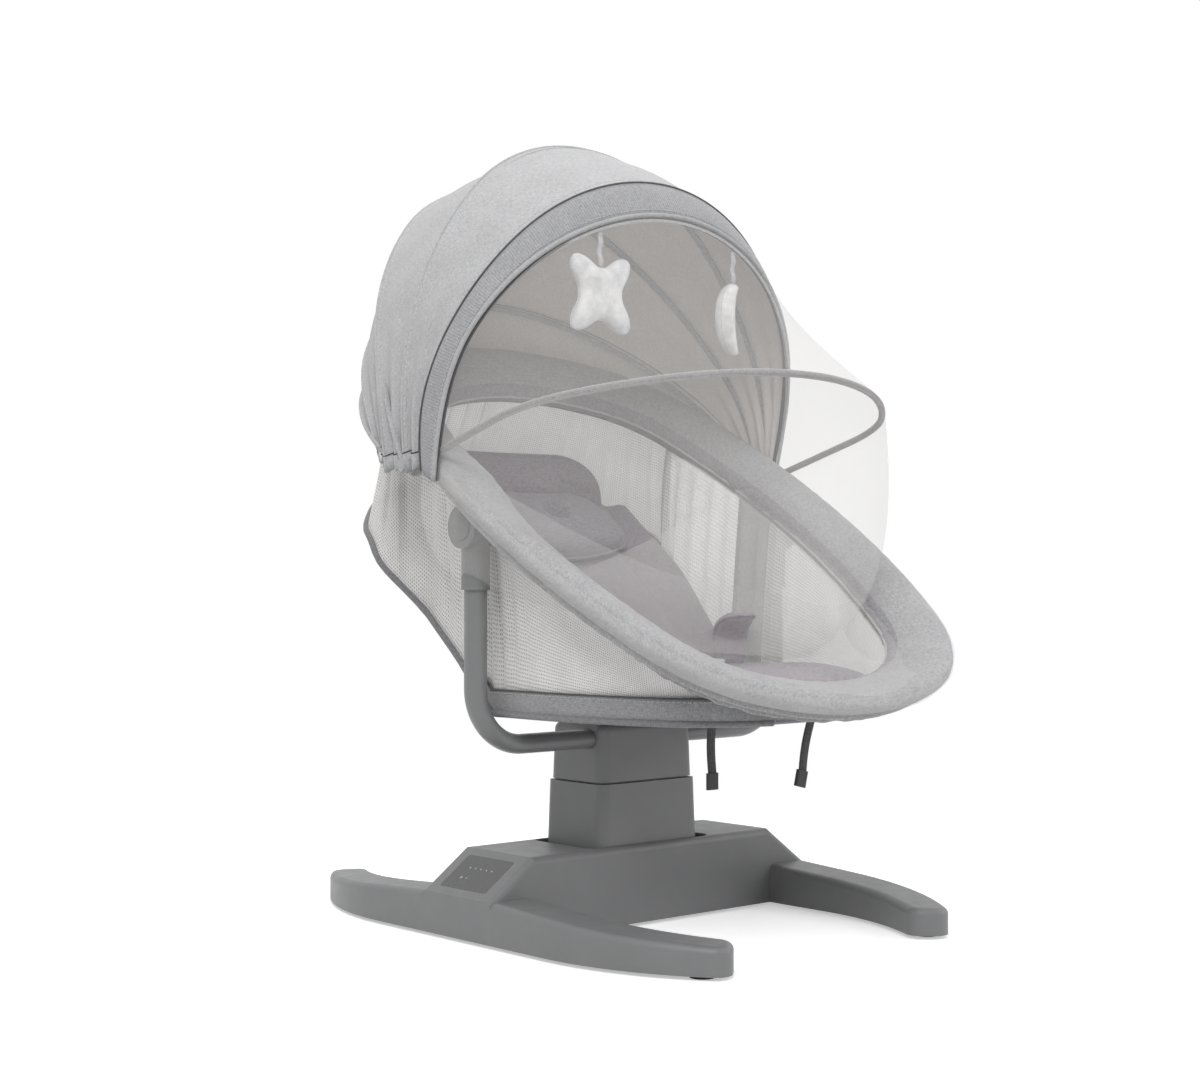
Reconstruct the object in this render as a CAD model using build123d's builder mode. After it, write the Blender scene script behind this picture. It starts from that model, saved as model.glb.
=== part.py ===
from build123d import *
import math
import os

# Baby swing: a rocking column on a four-legged base, two arms, a tilting padded
# seat with mesh walls, a folding canopy with an insect net, and two plush toys.
# Millimetres. +Z is up, the foot end of the seat is towards -Y and the control
# panel is on the -X side. The origin is on the floor under the middle of the whole.

# Clearances
seat_gap = 0.3
run_gap = 0.05
fixed_gap = 0.02

# Base
column_y = 34.0
pad_height = 4.0
pad_radius = 13.0
base_half_x = 246.0
base_half_y = 62.0
base_top = 93.0
base_edge_z = 50.0
slope_top_x = 186.0
base_wall = 3.5
base_round = 8.0
cover_thick = 3.0
slot_half_x = 94.0
slot_half_y = 55.0
screw_radius = 2.0
screw_head = 3.8
screw_x = 140.0
screw_y = 46.0
screw_depth = 18.0
boss_radius = 5.5

# Legs
leg_reach = 352.0
leg_straight = 150.0
leg_sweep_in = 74.0
leg_width = 60.0
leg_tip_width = 46.0
leg_root_height = 50.0
leg_tip_height = 33.0
leg_wall = 4.0
leg_round = 8.0
leg_solid_tip = 62.0

# Control panel, board, speaker and inlet
panel_length = 82.0
panel_width = 52.0
panel_thick = 2.6
panel_ledge = 4.0
board_thick = 1.6
board_post = 5.0
post_radius = 2.2
speaker_radius = 24.0
speaker_height = 16.0
speaker_inset_x = 50.0
inlet_radius = 5.5
inlet_length = 14.0
inlet_flange = 8.0
inlet_x = -120.0
inlet_z = 34.0

# Swing drive
axle_z = 44.0
axle_radius = 6.0
hub_radius = 15.0
hub_half = 33.0
stand_thick = 10.0
stand_half_x = 22.0
stand_gap = 0.4
web_half_x = 30.0
web_half_y = 14.0
flange_half_x = 55.0
flange_half_y = 34.0
flange_thick = 5.0
gear_module = 2.0
sector_teeth = 68
pinion_teeth = 12
sector_span = 9
gear_width = 8.0
gear_y = 15.0
backlash = 0.6
pinion_shaft = 4.0
gearbox_half_x = 19.0
gearbox_depth = 38.0
gearbox_half_z = 19.0
gearbox_gap = 3.0
motor_radius = 14.0
motor_length = 52.0
bracket_thick = 4.0

# Column
column_half_x = 78.0
column_half_y = 52.5
column_bottom = 86.0
column_seam = 163.0
column_top = 231.0
column_wall = 3.0
column_taper = 2.2
column_round = 15.0
seam_height = 2.0
seam_inset = 6.0
upper_inset = 1.5
upper_round = 9.0

# Arms and hubs
arm_y_back = -20.0
arm_z = 214.0
arm_half_y = 15.0
arm_half_x = 11.0
arm_wall = 1.8
arm_inset_x = 16.0
arm_bend = 64.0
arm_inner_x = 22.0
arm_top = 420.0
sleeve_bottom = 386.0
sleeve_wall = 3.2
hub_z = 455.0
eye_radius = 24.0
eye_stand_out = 4.0
eye_width = 24.5
pivot_radius = 7.0
button_radius = 15.0
button_thick = 4.0
button_dome = 3.5
button_recess = 6.0
button_travel = 2.5
plate_thick = 7.5

# Seat rim: an oval of arcs in a tilted plane
rim_tilt = 33.1
rim_y_back = -71.0
rim_z = 467.0
rim_half_w = 250.0
rim_half_l = 341.0
rim_corner = 150.0
rim_side_turn = 20.0
rim_corner_turn = 45.0
rim_tube_radius = 8.0
rim_tube_wall = 1.5
rim_pad_half_w = 37.0
rim_pad_half_t = 17.0
rim_pad_lean = 25.0
rim_joint_gap = 4.0
bracket_half = 17.0
bracket_side = 14.0
bracket_under = 11.5
bracket_over = 12.5

# Seat tub
board_z = 247.0
board_thickness = 4.0
board_foot_y = -352.0
board_bend_y = -8.0
back_angle = 38.3
wall_thick = 2.0
wall_inset = 32.5
wall_drop = 18.8
wall_lean = 0.915
wall_foot_turn = 58.0
wall_head_turn = 50.0
wall_stations = 15
pleat_depth = 2.6
head_bulge = 45.0
wall_outset = 30.0
wall_out_drop = 6.0
wall_pass_drop = 6.0
wall_out_from = 14.0
wall_out_to = 30.0
wall_out_lean = 1.0
wall_stand = 1.2
wall_stand_run = 30.0
board_margin = 3.0

# Pads
seat_pad_half_w = 158.0
seat_pad_front = -312.0
seat_pad_back = -34.0
seat_pad_side = 34.0
seat_pad_crown = 50.0
back_pad_half_w = 184.0
back_pad_start = 22.0
back_pad_run = 284.0
back_pad_curl = 52.0
back_pad_rise = 66.0
back_pad_lean = 100.0
back_pad_side = 34.0
back_pad_crown = 48.0
channel_radius = 6.0
channel_step = 54.0
channel_count = 5
pad_edge = 0.4
pad_sections = 13
pillow_half_w = 100.0
pillow_length = 116.0
pillow_thick = 46.0
pillow_start = 162.0
crotch_half_w = 30.0
crotch_height = 62.0
crotch_thick = 16.0
crotch_y = -168.0
buckle_length = 46.0
buckle_width = 34.0
buckle_thick = 10.0
buckle_sink = 0.4

# Strap tails under the seat
strap_width = 12.0
strap_thick = 1.6
strap_drop = 58.0
strap_lean = 14.0
clip_length = 18.0
clip_width = 16.0
clip_thick = 5.0
strap_left_x = -60.0
strap_left_y = -212.0
strap_right_x = 36.0
strap_right_y = -268.0

# Canopy and net: hoops fan out from one pivot line
fan_y_back = 33.0
fan_z = 522.0
fan_stand_out = 30.0
fan_pitch = 4.0
hoop_thick = 3.0
hoop_width = 6.0
hoop_leg = 30.0
hoop_turn = 45.0
hoop_eye = 8.0
fan_pin = 3.5
fan_head = 6.5
fan_head_thick = 3.0
ear_thick = 4.6
ear_half = 11.0
ear_depth = 9.0
cloth_gap = 1.8
cloth_thick = 2.0
cloth_start = 26.0
front_angle = 67.0
front_height = 311.0
band_angle = 72.0
band_rise = 25.0
middle_angle = 95.0
middle_height = 394.0
rear_angle = 117.0
rear_height = 407.0
fixed_angle = 136.0
fixed_height = 323.0
fixed_drop = 3.0
skirt_angle = 145.0
skirt_height = 276.0
gore_bulge = -8.0
seam_turn = 0.25
net_angle = 16.7
net_height = 334.0
net_leg = 150.0
net_thick = 1.2
net_sag_angle = -10.0
net_sag_height = 338.0
net_sag_leg = 120.0
net_hem_angle = -28.0
net_hem_height = 500.0
net_hem_leg = 220.0
net_hem_out = 5.0

# Toys on ribbons under the front hoop
toy_x = 105.0
ribbon_width = 7.0
ribbon_thick = 1.6
ribbon_length = 38.0
star_radius = 58.0
star_waist = 31.0
star_half_t = 14.0
star_points = 4
star_turn = 45.0
moon_radius = 43.0
moon_bite = 34.0
moon_shift = 20.0
moon_half_t = 13.0
moon_turn = 26.0

os.makedirs("parts", exist_ok=True)

# Places that several pieces share
base_low = pad_height
cover_top = base_low + cover_thick
root_y = base_half_y
arm_y = column_y + arm_y_back
arm_x = rim_half_w - arm_inset_x
eye_outer_x = rim_half_w + eye_stand_out
eye_inner_x = eye_outer_x - eye_width
fan_first_x = rim_half_w + fan_stand_out
speaker_x = speaker_inset_x - base_half_x
rim_y = column_y + rim_y_back
fan_y = column_y + fan_y_back
cos_t = math.cos(math.radians(rim_tilt))
sin_t = math.sin(math.radians(rim_tilt))
mid_plane = Plane.XZ.offset(-column_y)
rim_plane = Plane(
    origin=(0, rim_y, rim_z), x_dir=(1, 0, 0), z_dir=(0, -sin_t, cos_t)
)


def save(piece, name):
    piece.part.label = name
    export_step(piece.part, f"parts/{name}.step")


def mirrored(piece, name):
    with BuildPart() as other:
        mirror(piece.part, about=Plane.YZ)
    save(other, name)


# Base upper shell: one low bridge, sloping down to both ends, hollow from below
def base_profile(inset):
    low = base_low - (1 if inset else 0)
    top = base_top - inset
    end = base_half_x - inset
    edge = base_edge_z - inset * 0.6
    crest = slope_top_x - inset * 0.4
    with BuildLine() as outline:
        Polyline(
            (-end, low),
            (-end, edge),
            (-crest, top),
            (crest, top),
            (end, edge),
            (end, low),
            close=True,
        )
    make_face(outline.edges())


slope_run = base_half_x - slope_top_x
slope_rise = base_top - base_edge_z
slope_len = math.hypot(slope_run, slope_rise)
slope_out = Vector(-slope_rise / slope_len, 0, slope_run / slope_len)
slope_mid = Vector(
    -(base_half_x + slope_top_x) / 2, column_y, (base_top + base_edge_z) / 2
)
panel_plane = Plane(origin=slope_mid, x_dir=(0, -1, 0), z_dir=slope_out)

with BuildPart() as base_shell:
    with BuildSketch(mid_plane):
        base_profile(0)
    extrude(amount=base_half_y, both=True)
    side_edges = base_shell.edges().filter_by(
        lambda e: abs(abs(e.center().Y - column_y) - base_half_y) < 0.01
        and e.center().Z > base_low + 1
        and abs(e.tangent_at(0.5).Z) < 0.9
    )
    fillet(side_edges, base_round)
    with BuildSketch(mid_plane):
        base_profile(base_wall)
    extrude(amount=base_half_y - base_wall, both=True, mode=Mode.SUBTRACT)
    with BuildSketch(Plane.XY.offset(cover_top)):
        with Locations((0, column_y)):
            with GridLocations(2 * screw_x, 2 * screw_y, 2, 2):
                Circle(boss_radius)
    extrude(amount=base_top - base_wall - cover_top)
    with BuildSketch(Plane.XY.offset(cover_top)):
        with Locations((0, column_y)):
            with GridLocations(2 * screw_x, 2 * screw_y, 2, 2):
                Circle(screw_radius + fixed_gap)
    extrude(amount=screw_depth, mode=Mode.SUBTRACT)
    with BuildSketch(Plane.XY.offset(base_top - 3 * base_wall)):
        with Locations((0, column_y)):
            RectangleRounded(2 * slot_half_x, 2 * slot_half_y, column_round)
    extrude(amount=4 * base_wall, mode=Mode.SUBTRACT)
    with BuildSketch(panel_plane):
        RectangleRounded(
            panel_length + 2 * fixed_gap, panel_width + 2 * fixed_gap, panel_ledge
        )
    extrude(amount=-panel_thick, mode=Mode.SUBTRACT)
    with BuildSketch(panel_plane):
        Rectangle(panel_length - 2 * panel_ledge, panel_width - 2 * panel_ledge)
    extrude(amount=-3 * base_wall, mode=Mode.SUBTRACT)
    with BuildSketch(Plane.XZ.offset(-(column_y + base_half_y - 2 * base_wall))):
        with Locations((inlet_x, inlet_z)):
            Circle(inlet_radius + fixed_gap)
    extrude(amount=-4 * base_wall, mode=Mode.SUBTRACT)
save(base_shell, "base_upper_shell")

# Gear geometry that the drive shares
sector_pitch = gear_module * sector_teeth / 2
pinion_pitch = gear_module * pinion_teeth / 2
pinion_x = sector_pitch + pinion_pitch
gearbox_top = column_y + gear_y - gearbox_gap
gearbox_low = gearbox_top - gearbox_depth
stand_in = hub_half + stand_gap

# Bottom cover with the two bearing stands and the motor bracket
with BuildPart() as base_cover:
    with BuildSketch(Plane.XY.offset(base_low)):
        with Locations((0, column_y)):
            Rectangle(
                2 * (base_half_x - base_wall - seat_gap),
                2 * (base_half_y - base_wall - seat_gap),
            )
    extrude(amount=cover_thick)
    with BuildSketch(mid_plane):
        with BuildLine():
            Polyline(
                (-stand_half_x, cover_top - 1),
                (-stand_half_x, axle_z),
                (-axle_radius - 8, axle_z + axle_radius + 8),
                (axle_radius + 8, axle_z + axle_radius + 8),
                (stand_half_x, axle_z),
                (stand_half_x, cover_top - 1),
                close=True,
            )
        make_face()
        with Locations((0, axle_z)):
            Circle(axle_radius + fixed_gap, mode=Mode.SUBTRACT)
    extrude(amount=stand_in + stand_thick, both=True)
    with BuildSketch(Plane.XY.offset(cover_top)):
        with Locations((0, column_y)):
            Rectangle(6 * stand_half_x, 2 * stand_in)
    extrude(amount=base_top, mode=Mode.SUBTRACT)
    with BuildSketch(Plane.XY.offset(cover_top - 1)):
        for end in (-1, 1):
            x = pinion_x + end * (gearbox_half_x - bracket_thick / 2)
            with Locations((x, (gearbox_top + gearbox_low) / 2)):
                Rectangle(bracket_thick, gearbox_depth)
    extrude(amount=axle_z - gearbox_half_z - cover_top + 1)
    with BuildSketch(Plane.XY.offset(base_low)):
        with Locations((0, column_y)):
            with GridLocations(2 * screw_x, 2 * screw_y, 2, 2):
                Circle(screw_radius + fixed_gap)
    extrude(amount=cover_thick, mode=Mode.SUBTRACT)
save(base_cover, "base_bottom_cover")

# Screws that hold the cover, heads below it
screw_head_thick = pad_height - 1.0
with BuildPart() as screws:
    with BuildSketch(Plane.XY.offset(base_low - screw_head_thick)):
        with Locations((0, column_y)):
            with GridLocations(2 * screw_x, 2 * screw_y, 2, 2):
                Circle(screw_head)
    extrude(amount=screw_head_thick)
    with BuildSketch(Plane.XY.offset(base_low)):
        with Locations((0, column_y)):
            with GridLocations(2 * screw_x, 2 * screw_y, 2, 2):
                Circle(screw_radius)
    extrude(amount=cover_thick + screw_depth - 1)
save(screws, "base_screws")

# Legs: the front left one is drawn, the others are mirrored from it
leg_root = (-base_half_x, column_y - root_y)
leg_bend = (-base_half_x, column_y - leg_straight)
tip_outer = Vector(-base_half_x + leg_sweep_in, column_y - leg_reach)
with BuildLine() as leg_edge:
    outer_arc = TangentArc(leg_bend, (tip_outer.X, tip_outer.Y), tangent=(0, -1))
tip_dir = outer_arc % 1
tip_across = Vector(-tip_dir.Y, tip_dir.X)
tip_inner = tip_outer + tip_across * leg_tip_width
tip_pad = tip_outer + tip_across * (leg_tip_width / 2) - tip_dir * (leg_solid_tip / 2)


def leg_outline(inset):
    inner_x = -base_half_x + leg_width
    with BuildLine() as outline:
        Line(leg_root, leg_bend)
        TangentArc(leg_bend, (tip_outer.X, tip_outer.Y), tangent=(0, -1))
        Line((tip_outer.X, tip_outer.Y), (tip_inner.X, tip_inner.Y))
        TangentArc(
            (inner_x, leg_bend[1]), (tip_inner.X, tip_inner.Y), tangent=(0, -1)
        )
        Line((inner_x, leg_bend[1]), (inner_x, leg_root[1]))
        Line((inner_x, leg_root[1]), leg_root)
    plan = make_face(outline.edges())
    if inset:
        offset(plan, amount=-inset, mode=Mode.REPLACE)


with BuildPart() as leg:
    with BuildSketch(Plane.XY.offset(base_low)) as leg_plan:
        leg_outline(0)
        tip_corners = leg_plan.vertices().sort_by(Axis.Y)[:2]
        fillet(tip_corners, leg_tip_width * 0.4)
    extrude(amount=leg_root_height - base_low)
    with BuildSketch(Plane.YZ.offset(-2 * base_half_x)):
        with BuildLine():
            Polyline(
                (leg_root[1], leg_root_height),
                (tip_outer.Y, leg_tip_height),
                (tip_outer.Y - leg_width, leg_tip_height),
                (tip_outer.Y - leg_width, 2 * leg_root_height),
                (leg_root[1], 2 * leg_root_height),
                close=True,
            )
        make_face()
    extrude(amount=3 * base_half_x, mode=Mode.SUBTRACT)
    crest = leg.edges().filter_by(
        lambda e: e.center().Z > leg_tip_height - 1
        and abs(e.tangent_at(0.5).Z) < 0.5
        and e.center().Y < leg_root[1] - 1
    )
    fillet(crest, leg_round)
    with BuildSketch(Plane.XY.offset(base_low)):
        leg_outline(leg_wall)
        with Locations((-base_half_x, tip_outer.Y + leg_solid_tip + leg_reach)):
            Rectangle(4 * leg_width, 2 * leg_reach, mode=Mode.INTERSECT)
    extrude(amount=leg_tip_height - 2 * leg_wall - base_low, mode=Mode.SUBTRACT)
save(leg, "leg_front_left")
mirrored(leg, "leg_front_right")
with BuildPart() as leg_rear:
    mirror(leg.part, about=Plane.XZ.offset(-column_y))
save(leg_rear, "leg_rear_left")
mirrored(leg_rear, "leg_rear_right")

# Rubber pads under the leg tips
with BuildPart() as foot_pads:
    with BuildSketch(Plane.XY):
        for end in (-1, 1):
            reach = end * (column_y - tip_pad.Y)
            with Locations((tip_pad.X, column_y + reach), (-tip_pad.X, column_y + reach)):
                Circle(pad_radius)
    extrude(amount=pad_height)
save(foot_pads, "foot_pads")

# Control panel in its recess, with posts for the board behind it
with BuildPart() as panel:
    with BuildSketch(panel_plane.offset(-panel_thick)):
        RectangleRounded(panel_length, panel_width, panel_ledge)
    extrude(amount=panel_thick)
    with BuildSketch(panel_plane.offset(-panel_thick)):
        with GridLocations(
            panel_length - 6 * panel_ledge, panel_width - 6 * panel_ledge, 2, 2
        ):
            Circle(post_radius)
    extrude(amount=-board_post)
save(panel, "control_panel")

with BuildPart() as board:
    with BuildSketch(panel_plane.offset(-panel_thick - board_post)):
        Rectangle(panel_length - 3 * panel_ledge, panel_width - 3 * panel_ledge)
    extrude(amount=-board_thick)
save(board, "control_board")

with BuildPart() as speaker:
    with BuildSketch(Plane.XY.offset(cover_top)):
        with Locations((speaker_x, column_y)):
            Circle(speaker_radius)
    extrude(amount=speaker_height * 0.35)
    with BuildSketch(Plane.XY.offset(cover_top + speaker_height * 0.35)):
        with Locations((speaker_x, column_y)):
            Circle(speaker_radius * 0.62)
    extrude(amount=speaker_height * 0.65)
save(speaker, "speaker")

inlet_plane = Plane.XZ.offset(-(column_y + base_half_y))
with BuildPart() as inlet:
    with BuildSketch(inlet_plane):
        with Locations((inlet_x, inlet_z)):
            Circle(inlet_flange)
            Circle(inlet_radius * 0.6, mode=Mode.SUBTRACT)
    extrude(amount=-1.5)
    with BuildSketch(inlet_plane):
        with Locations((inlet_x, inlet_z)):
            Circle(inlet_radius)
            Circle(inlet_radius * 0.6, mode=Mode.SUBTRACT)
    extrude(amount=inlet_length)
    with BuildSketch(inlet_plane.offset(inlet_length - 2)):
        with Locations((inlet_x, inlet_z)):
            Circle(inlet_radius)
    extrude(amount=2)
save(inlet, "power_inlet")

# Swing shaft through the stands and the yoke
with BuildPart() as shaft:
    with BuildSketch(mid_plane):
        with Locations((0, axle_z)):
            Circle(axle_radius)
    extrude(amount=stand_in + stand_thick, both=True)
save(shaft, "swing_shaft")

# Gear motor: a gearbox with the pinion's bore, and the motor can beside it
box_mid = (gearbox_top + gearbox_low) / 2
with BuildPart() as motor:
    with BuildSketch(Plane.XZ.offset(-gearbox_top)):
        with Locations((pinion_x, axle_z)):
            RectangleRounded(2 * gearbox_half_x, 2 * gearbox_half_z, 3)
            Circle(pinion_shaft + run_gap, mode=Mode.SUBTRACT)
    extrude(amount=gearbox_depth)
    with BuildSketch(Plane.YZ.offset(pinion_x + gearbox_half_x)):
        with Locations((box_mid, axle_z)):
            Circle(motor_radius)
    extrude(amount=motor_length)
save(motor, "drive_motor")


# Gear teeth with straight flanks, thinned for backlash
def tooth(pitch_radius, centre, at):
    root = pitch_radius - 1.2 * gear_module
    tip = pitch_radius + 0.9 * gear_module
    half = math.pi * gear_module / 4 - backlash / 2
    slant = math.tan(math.radians(22))
    spots = [
        (root - 0.3, half + slant * (pitch_radius - root)),
        (tip, half - slant * (tip - pitch_radius)),
        (tip, -half + slant * (tip - pitch_radius)),
        (root - 0.3, -half - slant * (pitch_radius - root)),
    ]
    turn = math.radians(at)
    placed = []
    for r, across in spots:
        x = centre[0] + r * math.cos(turn) - across * math.sin(turn)
        y = centre[1] + r * math.sin(turn) + across * math.cos(turn)
        placed.append((x, y))
    with BuildLine() as outline:
        Polyline(*placed, close=True)
    make_face(outline.edges())


gear_plane = Plane.XZ.offset(-(column_y + gear_y + gear_width))
sector_step = 360.0 / sector_teeth
sector_half = sector_step * (sector_span - 1) / 2
sector_root = sector_pitch - 1.2 * gear_module
with BuildPart() as sector:
    with BuildSketch(gear_plane):
        with Locations((0, axle_z)):
            Circle(hub_radius + 6)
        reach = math.radians(sector_half + sector_step / 2)
        with BuildLine():
            rim = CenterArc(
                (0, axle_z), sector_root, -math.degrees(reach), 2 * math.degrees(reach)
            )
            Line(rim @ 1, (0, axle_z))
            Line((0, axle_z), rim @ 0)
        make_face()
        for k in range(sector_span):
            tooth(sector_pitch, (0, axle_z), -sector_half + k * sector_step)
        with Locations((0, axle_z)):
            Circle(hub_radius + fixed_gap, mode=Mode.SUBTRACT)
    extrude(amount=gear_width)
save(sector, "sector_gear")

pinion_step = 360.0 / pinion_teeth
with BuildPart() as pinion:
    with BuildSketch(gear_plane):
        with Locations((pinion_x, axle_z)):
            Circle(pinion_pitch - 1.2 * gear_module)
        for k in range(pinion_teeth):
            tooth(pinion_pitch, (pinion_x, axle_z), 180 + (k + 0.5) * pinion_step)
    extrude(amount=gear_width)
    with BuildSketch(Plane.XZ.offset(-(column_y + gear_y))):
        with Locations((pinion_x, axle_z)):
            Circle(pinion_shaft)
    extrude(amount=gearbox_gap + gearbox_depth * 0.8)
save(pinion, "drive_pinion")

# Yoke: hub on the shaft, web up through the slot, flange under the column's floor
flange_top = column_seam - column_wall
with BuildPart() as yoke:
    with BuildSketch(mid_plane):
        with Locations((0, axle_z)):
            Circle(hub_radius)
    extrude(amount=hub_half, both=True)
    with BuildSketch(Plane.XY.offset(axle_z)):
        with Locations((0, column_y)):
            Rectangle(2 * web_half_x, 2 * web_half_y)
    extrude(amount=flange_top - flange_thick - axle_z)
    with BuildSketch(Plane.XY.offset(flange_top - flange_thick)):
        with Locations((0, column_y)):
            RectangleRounded(2 * flange_half_x, 2 * flange_half_y, 6)
    extrude(amount=flange_thick)
    with BuildSketch(mid_plane):
        with Locations((0, axle_z)):
            Circle(axle_radius + run_gap)
    extrude(amount=hub_half, both=True, mode=Mode.SUBTRACT)
save(yoke, "swing_yoke")

# Column covers
lower_tall = column_seam - column_bottom
shrink = lower_tall * math.tan(math.radians(column_taper))
with BuildPart() as column_lower:
    with BuildSketch(Plane.XY.offset(column_bottom)):
        with Locations((0, column_y)):
            RectangleRounded(2 * column_half_x, 2 * column_half_y, column_round)
    extrude(amount=lower_tall, taper=column_taper)
    with BuildSketch(Plane.XY.offset(column_bottom)):
        with Locations((0, column_y)):
            RectangleRounded(
                2 * (column_half_x - column_wall),
                2 * (column_half_y - column_wall),
                column_round - column_wall,
            )
    extrude(
        amount=lower_tall - column_wall, taper=column_taper, mode=Mode.SUBTRACT
    )
    with BuildSketch(Plane.XY.offset(column_seam)):
        with Locations((0, column_y)):
            RectangleRounded(
                2 * (column_half_x - shrink - seam_inset),
                2 * (column_half_y - shrink - seam_inset),
                column_round - seam_inset,
            )
    extrude(amount=seam_height)
save(column_lower, "column_lower_cover")

upper_low = column_seam + seam_height
upper_tall = column_top - upper_low
upper_half_x = column_half_x - shrink - upper_inset
upper_half_y = column_half_y - shrink - upper_inset


def arm_path(near):
    with BuildLine() as path:
        FilletPolyline(
            (-near, arm_y, arm_z),
            (-arm_x, arm_y, arm_z),
            (-arm_x, arm_y, arm_top),
            radius=arm_bend,
        )
    return path.wires()[0]


arm_mouth = Plane(origin=(0, arm_y, arm_z), x_dir=(0, 1, 0), z_dir=(-1, 0, 0))
arm_end = Plane(origin=(-arm_inner_x, arm_y, arm_z), x_dir=(0, 1, 0), z_dir=(-1, 0, 0))

with BuildPart() as column_upper:
    with BuildSketch(Plane.XY.offset(upper_low)):
        with Locations((0, column_y)):
            RectangleRounded(2 * upper_half_x, 2 * upper_half_y, column_round)
    extrude(amount=upper_tall, taper=column_taper)
    fillet(column_upper.faces().sort_by(Axis.Z)[-1].edges(), upper_round)
    with BuildSketch(Plane.XY.offset(upper_low)):
        with Locations((0, column_y)):
            RectangleRounded(
                2 * (upper_half_x - column_wall),
                2 * (upper_half_y - column_wall),
                column_round - column_wall,
            )
    extrude(
        amount=upper_tall - column_wall - 1, taper=column_taper, mode=Mode.SUBTRACT
    )
    with BuildSketch(arm_mouth):
        Ellipse(arm_half_y + seat_gap, arm_half_x + seat_gap)
    extrude(amount=2 * column_half_x, both=True, mode=Mode.SUBTRACT)
save(column_upper, "column_upper_cover")

# Socket: a cradle on the column's floor that both arm tubes lie in
cradle_shrink = upper_tall * math.tan(math.radians(column_taper))
with BuildPart() as socket:
    with BuildSketch(Plane.XY.offset(upper_low)):
        with Locations((0, arm_y)):
            Rectangle(
                2 * (upper_half_x - column_wall - cradle_shrink - 1),
                2 * arm_half_y + 4,
            )
    extrude(amount=arm_z - upper_low)
    with BuildSketch(arm_mouth):
        Ellipse(arm_half_y + fixed_gap, arm_half_x + fixed_gap)
    extrude(amount=2 * column_half_x, both=True, mode=Mode.SUBTRACT)
save(socket, "arm_socket")

with BuildPart() as arm:
    with BuildSketch(arm_end):
        Ellipse(arm_half_y, arm_half_x)
        Ellipse(arm_half_y - arm_wall, arm_half_x - arm_wall, mode=Mode.SUBTRACT)
    sweep(path=arm_path(arm_inner_x))
save(arm, "arm_tube_left")
mirrored(arm, "arm_tube_right")

# Arm sleeve: oval socket over the tube's end, with the hub eye above it
hub_out = Plane(origin=(0, arm_y, hub_z), x_dir=(0, -1, 0), z_dir=(-1, 0, 0))
sleeve_half_x = arm_half_x + sleeve_wall
with BuildPart() as sleeve:
    with BuildSketch(Plane.XY.offset(sleeve_bottom)):
        with Locations((-arm_x, arm_y)):
            Ellipse(sleeve_half_x, arm_half_y + sleeve_wall)
    extrude(amount=hub_z - sleeve_bottom)
    with BuildSketch(hub_out.offset(eye_inner_x)):
        Circle(eye_radius)
    extrude(amount=eye_outer_x - eye_inner_x)
    with BuildSketch(hub_out):
        Circle(eye_radius + 1)
    extrude(amount=eye_inner_x, mode=Mode.SUBTRACT)
    with BuildSketch(Plane.XY.offset(sleeve_bottom)):
        with Locations((-arm_x, arm_y)):
            Ellipse(arm_half_x + fixed_gap, arm_half_y + fixed_gap)
    extrude(amount=arm_top - sleeve_bottom + fixed_gap, mode=Mode.SUBTRACT)
    with BuildSketch(hub_out):
        Circle(pivot_radius + run_gap)
    extrude(amount=eye_outer_x, mode=Mode.SUBTRACT)
    with BuildSketch(hub_out.offset(eye_outer_x - button_recess)):
        Circle(button_radius + seat_gap)
    extrude(amount=button_recess, mode=Mode.SUBTRACT)
save(sleeve, "arm_sleeve_left")
mirrored(sleeve, "arm_sleeve_right")

# Recline button: a domed cap that slides into the eye's recess
button_back = eye_outer_x - button_recess + button_travel + 0.5
dome_radius = (button_radius**2 + button_dome**2) / (2 * button_dome)
with BuildPart() as button:
    with BuildSketch(
        Plane(origin=(0, arm_y, hub_z), x_dir=(-1, 0, 0), z_dir=(0, -1, 0))
    ):
        with BuildLine():
            side = Line((button_back, 0), (button_back, button_radius))
            edge = Line(side @ 1, (button_back + button_thick, button_radius))
            crown = RadiusArc(
                edge @ 1, (button_back + button_thick + button_dome, 0), dome_radius
            )
            Line(crown @ 1, side @ 0)
        make_face()
    revolve(axis=Axis((0, arm_y, hub_z), (1, 0, 0)))
save(button, "recline_button_left")
mirrored(button, "recline_button_right")

# Rim oval: side, corner and end radii from its half width and half length
a1 = math.radians(rim_side_turn)
a2 = math.radians(rim_side_turn + rim_corner_turn)
left_a = rim_half_l - rim_corner * (math.sin(a2) - math.sin(a1))
left_b = rim_half_w - rim_corner * (math.cos(a1) - math.cos(a2))
k11, k12 = math.sin(a1), 1 - math.sin(a2)
k21, k22 = 1 - math.cos(a1), math.cos(a2)
det = k11 * k22 - k12 * k21
rim_side = (left_a * k22 - k12 * left_b) / det
rim_end = (k11 * left_b - left_a * k21) / det
corner_x = rim_half_w - rim_side + (rim_side - rim_corner) * math.cos(a1)
corner_u = (rim_side - rim_corner) * math.sin(a1)
d1 = rim_side_turn
d2 = rim_side_turn + rim_corner_turn
# Arc centres in the rim plane, with radius, first angle and turn, head end last
rim_arcs = [
    ((rim_side - rim_half_w, 0), rim_side, 180 - d1, 2 * d1),
    ((-corner_x, -corner_u), rim_corner, 180 + d1, d2 - d1),
    ((0, rim_end - rim_half_l), rim_end, 180 + d2, 180 - 2 * d2),
    ((corner_x, -corner_u), rim_corner, 360 - d2, d2 - d1),
    ((rim_half_w - rim_side, 0), rim_side, 360 - d1, 2 * d1),
    ((corner_x, corner_u), rim_corner, d1, d2 - d1),
    ((0, rim_half_l - rim_end), rim_end, d2, 180 - 2 * d2),
    ((-corner_x, corner_u), rim_corner, 180 - d2, d2 - d1),
]


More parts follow.
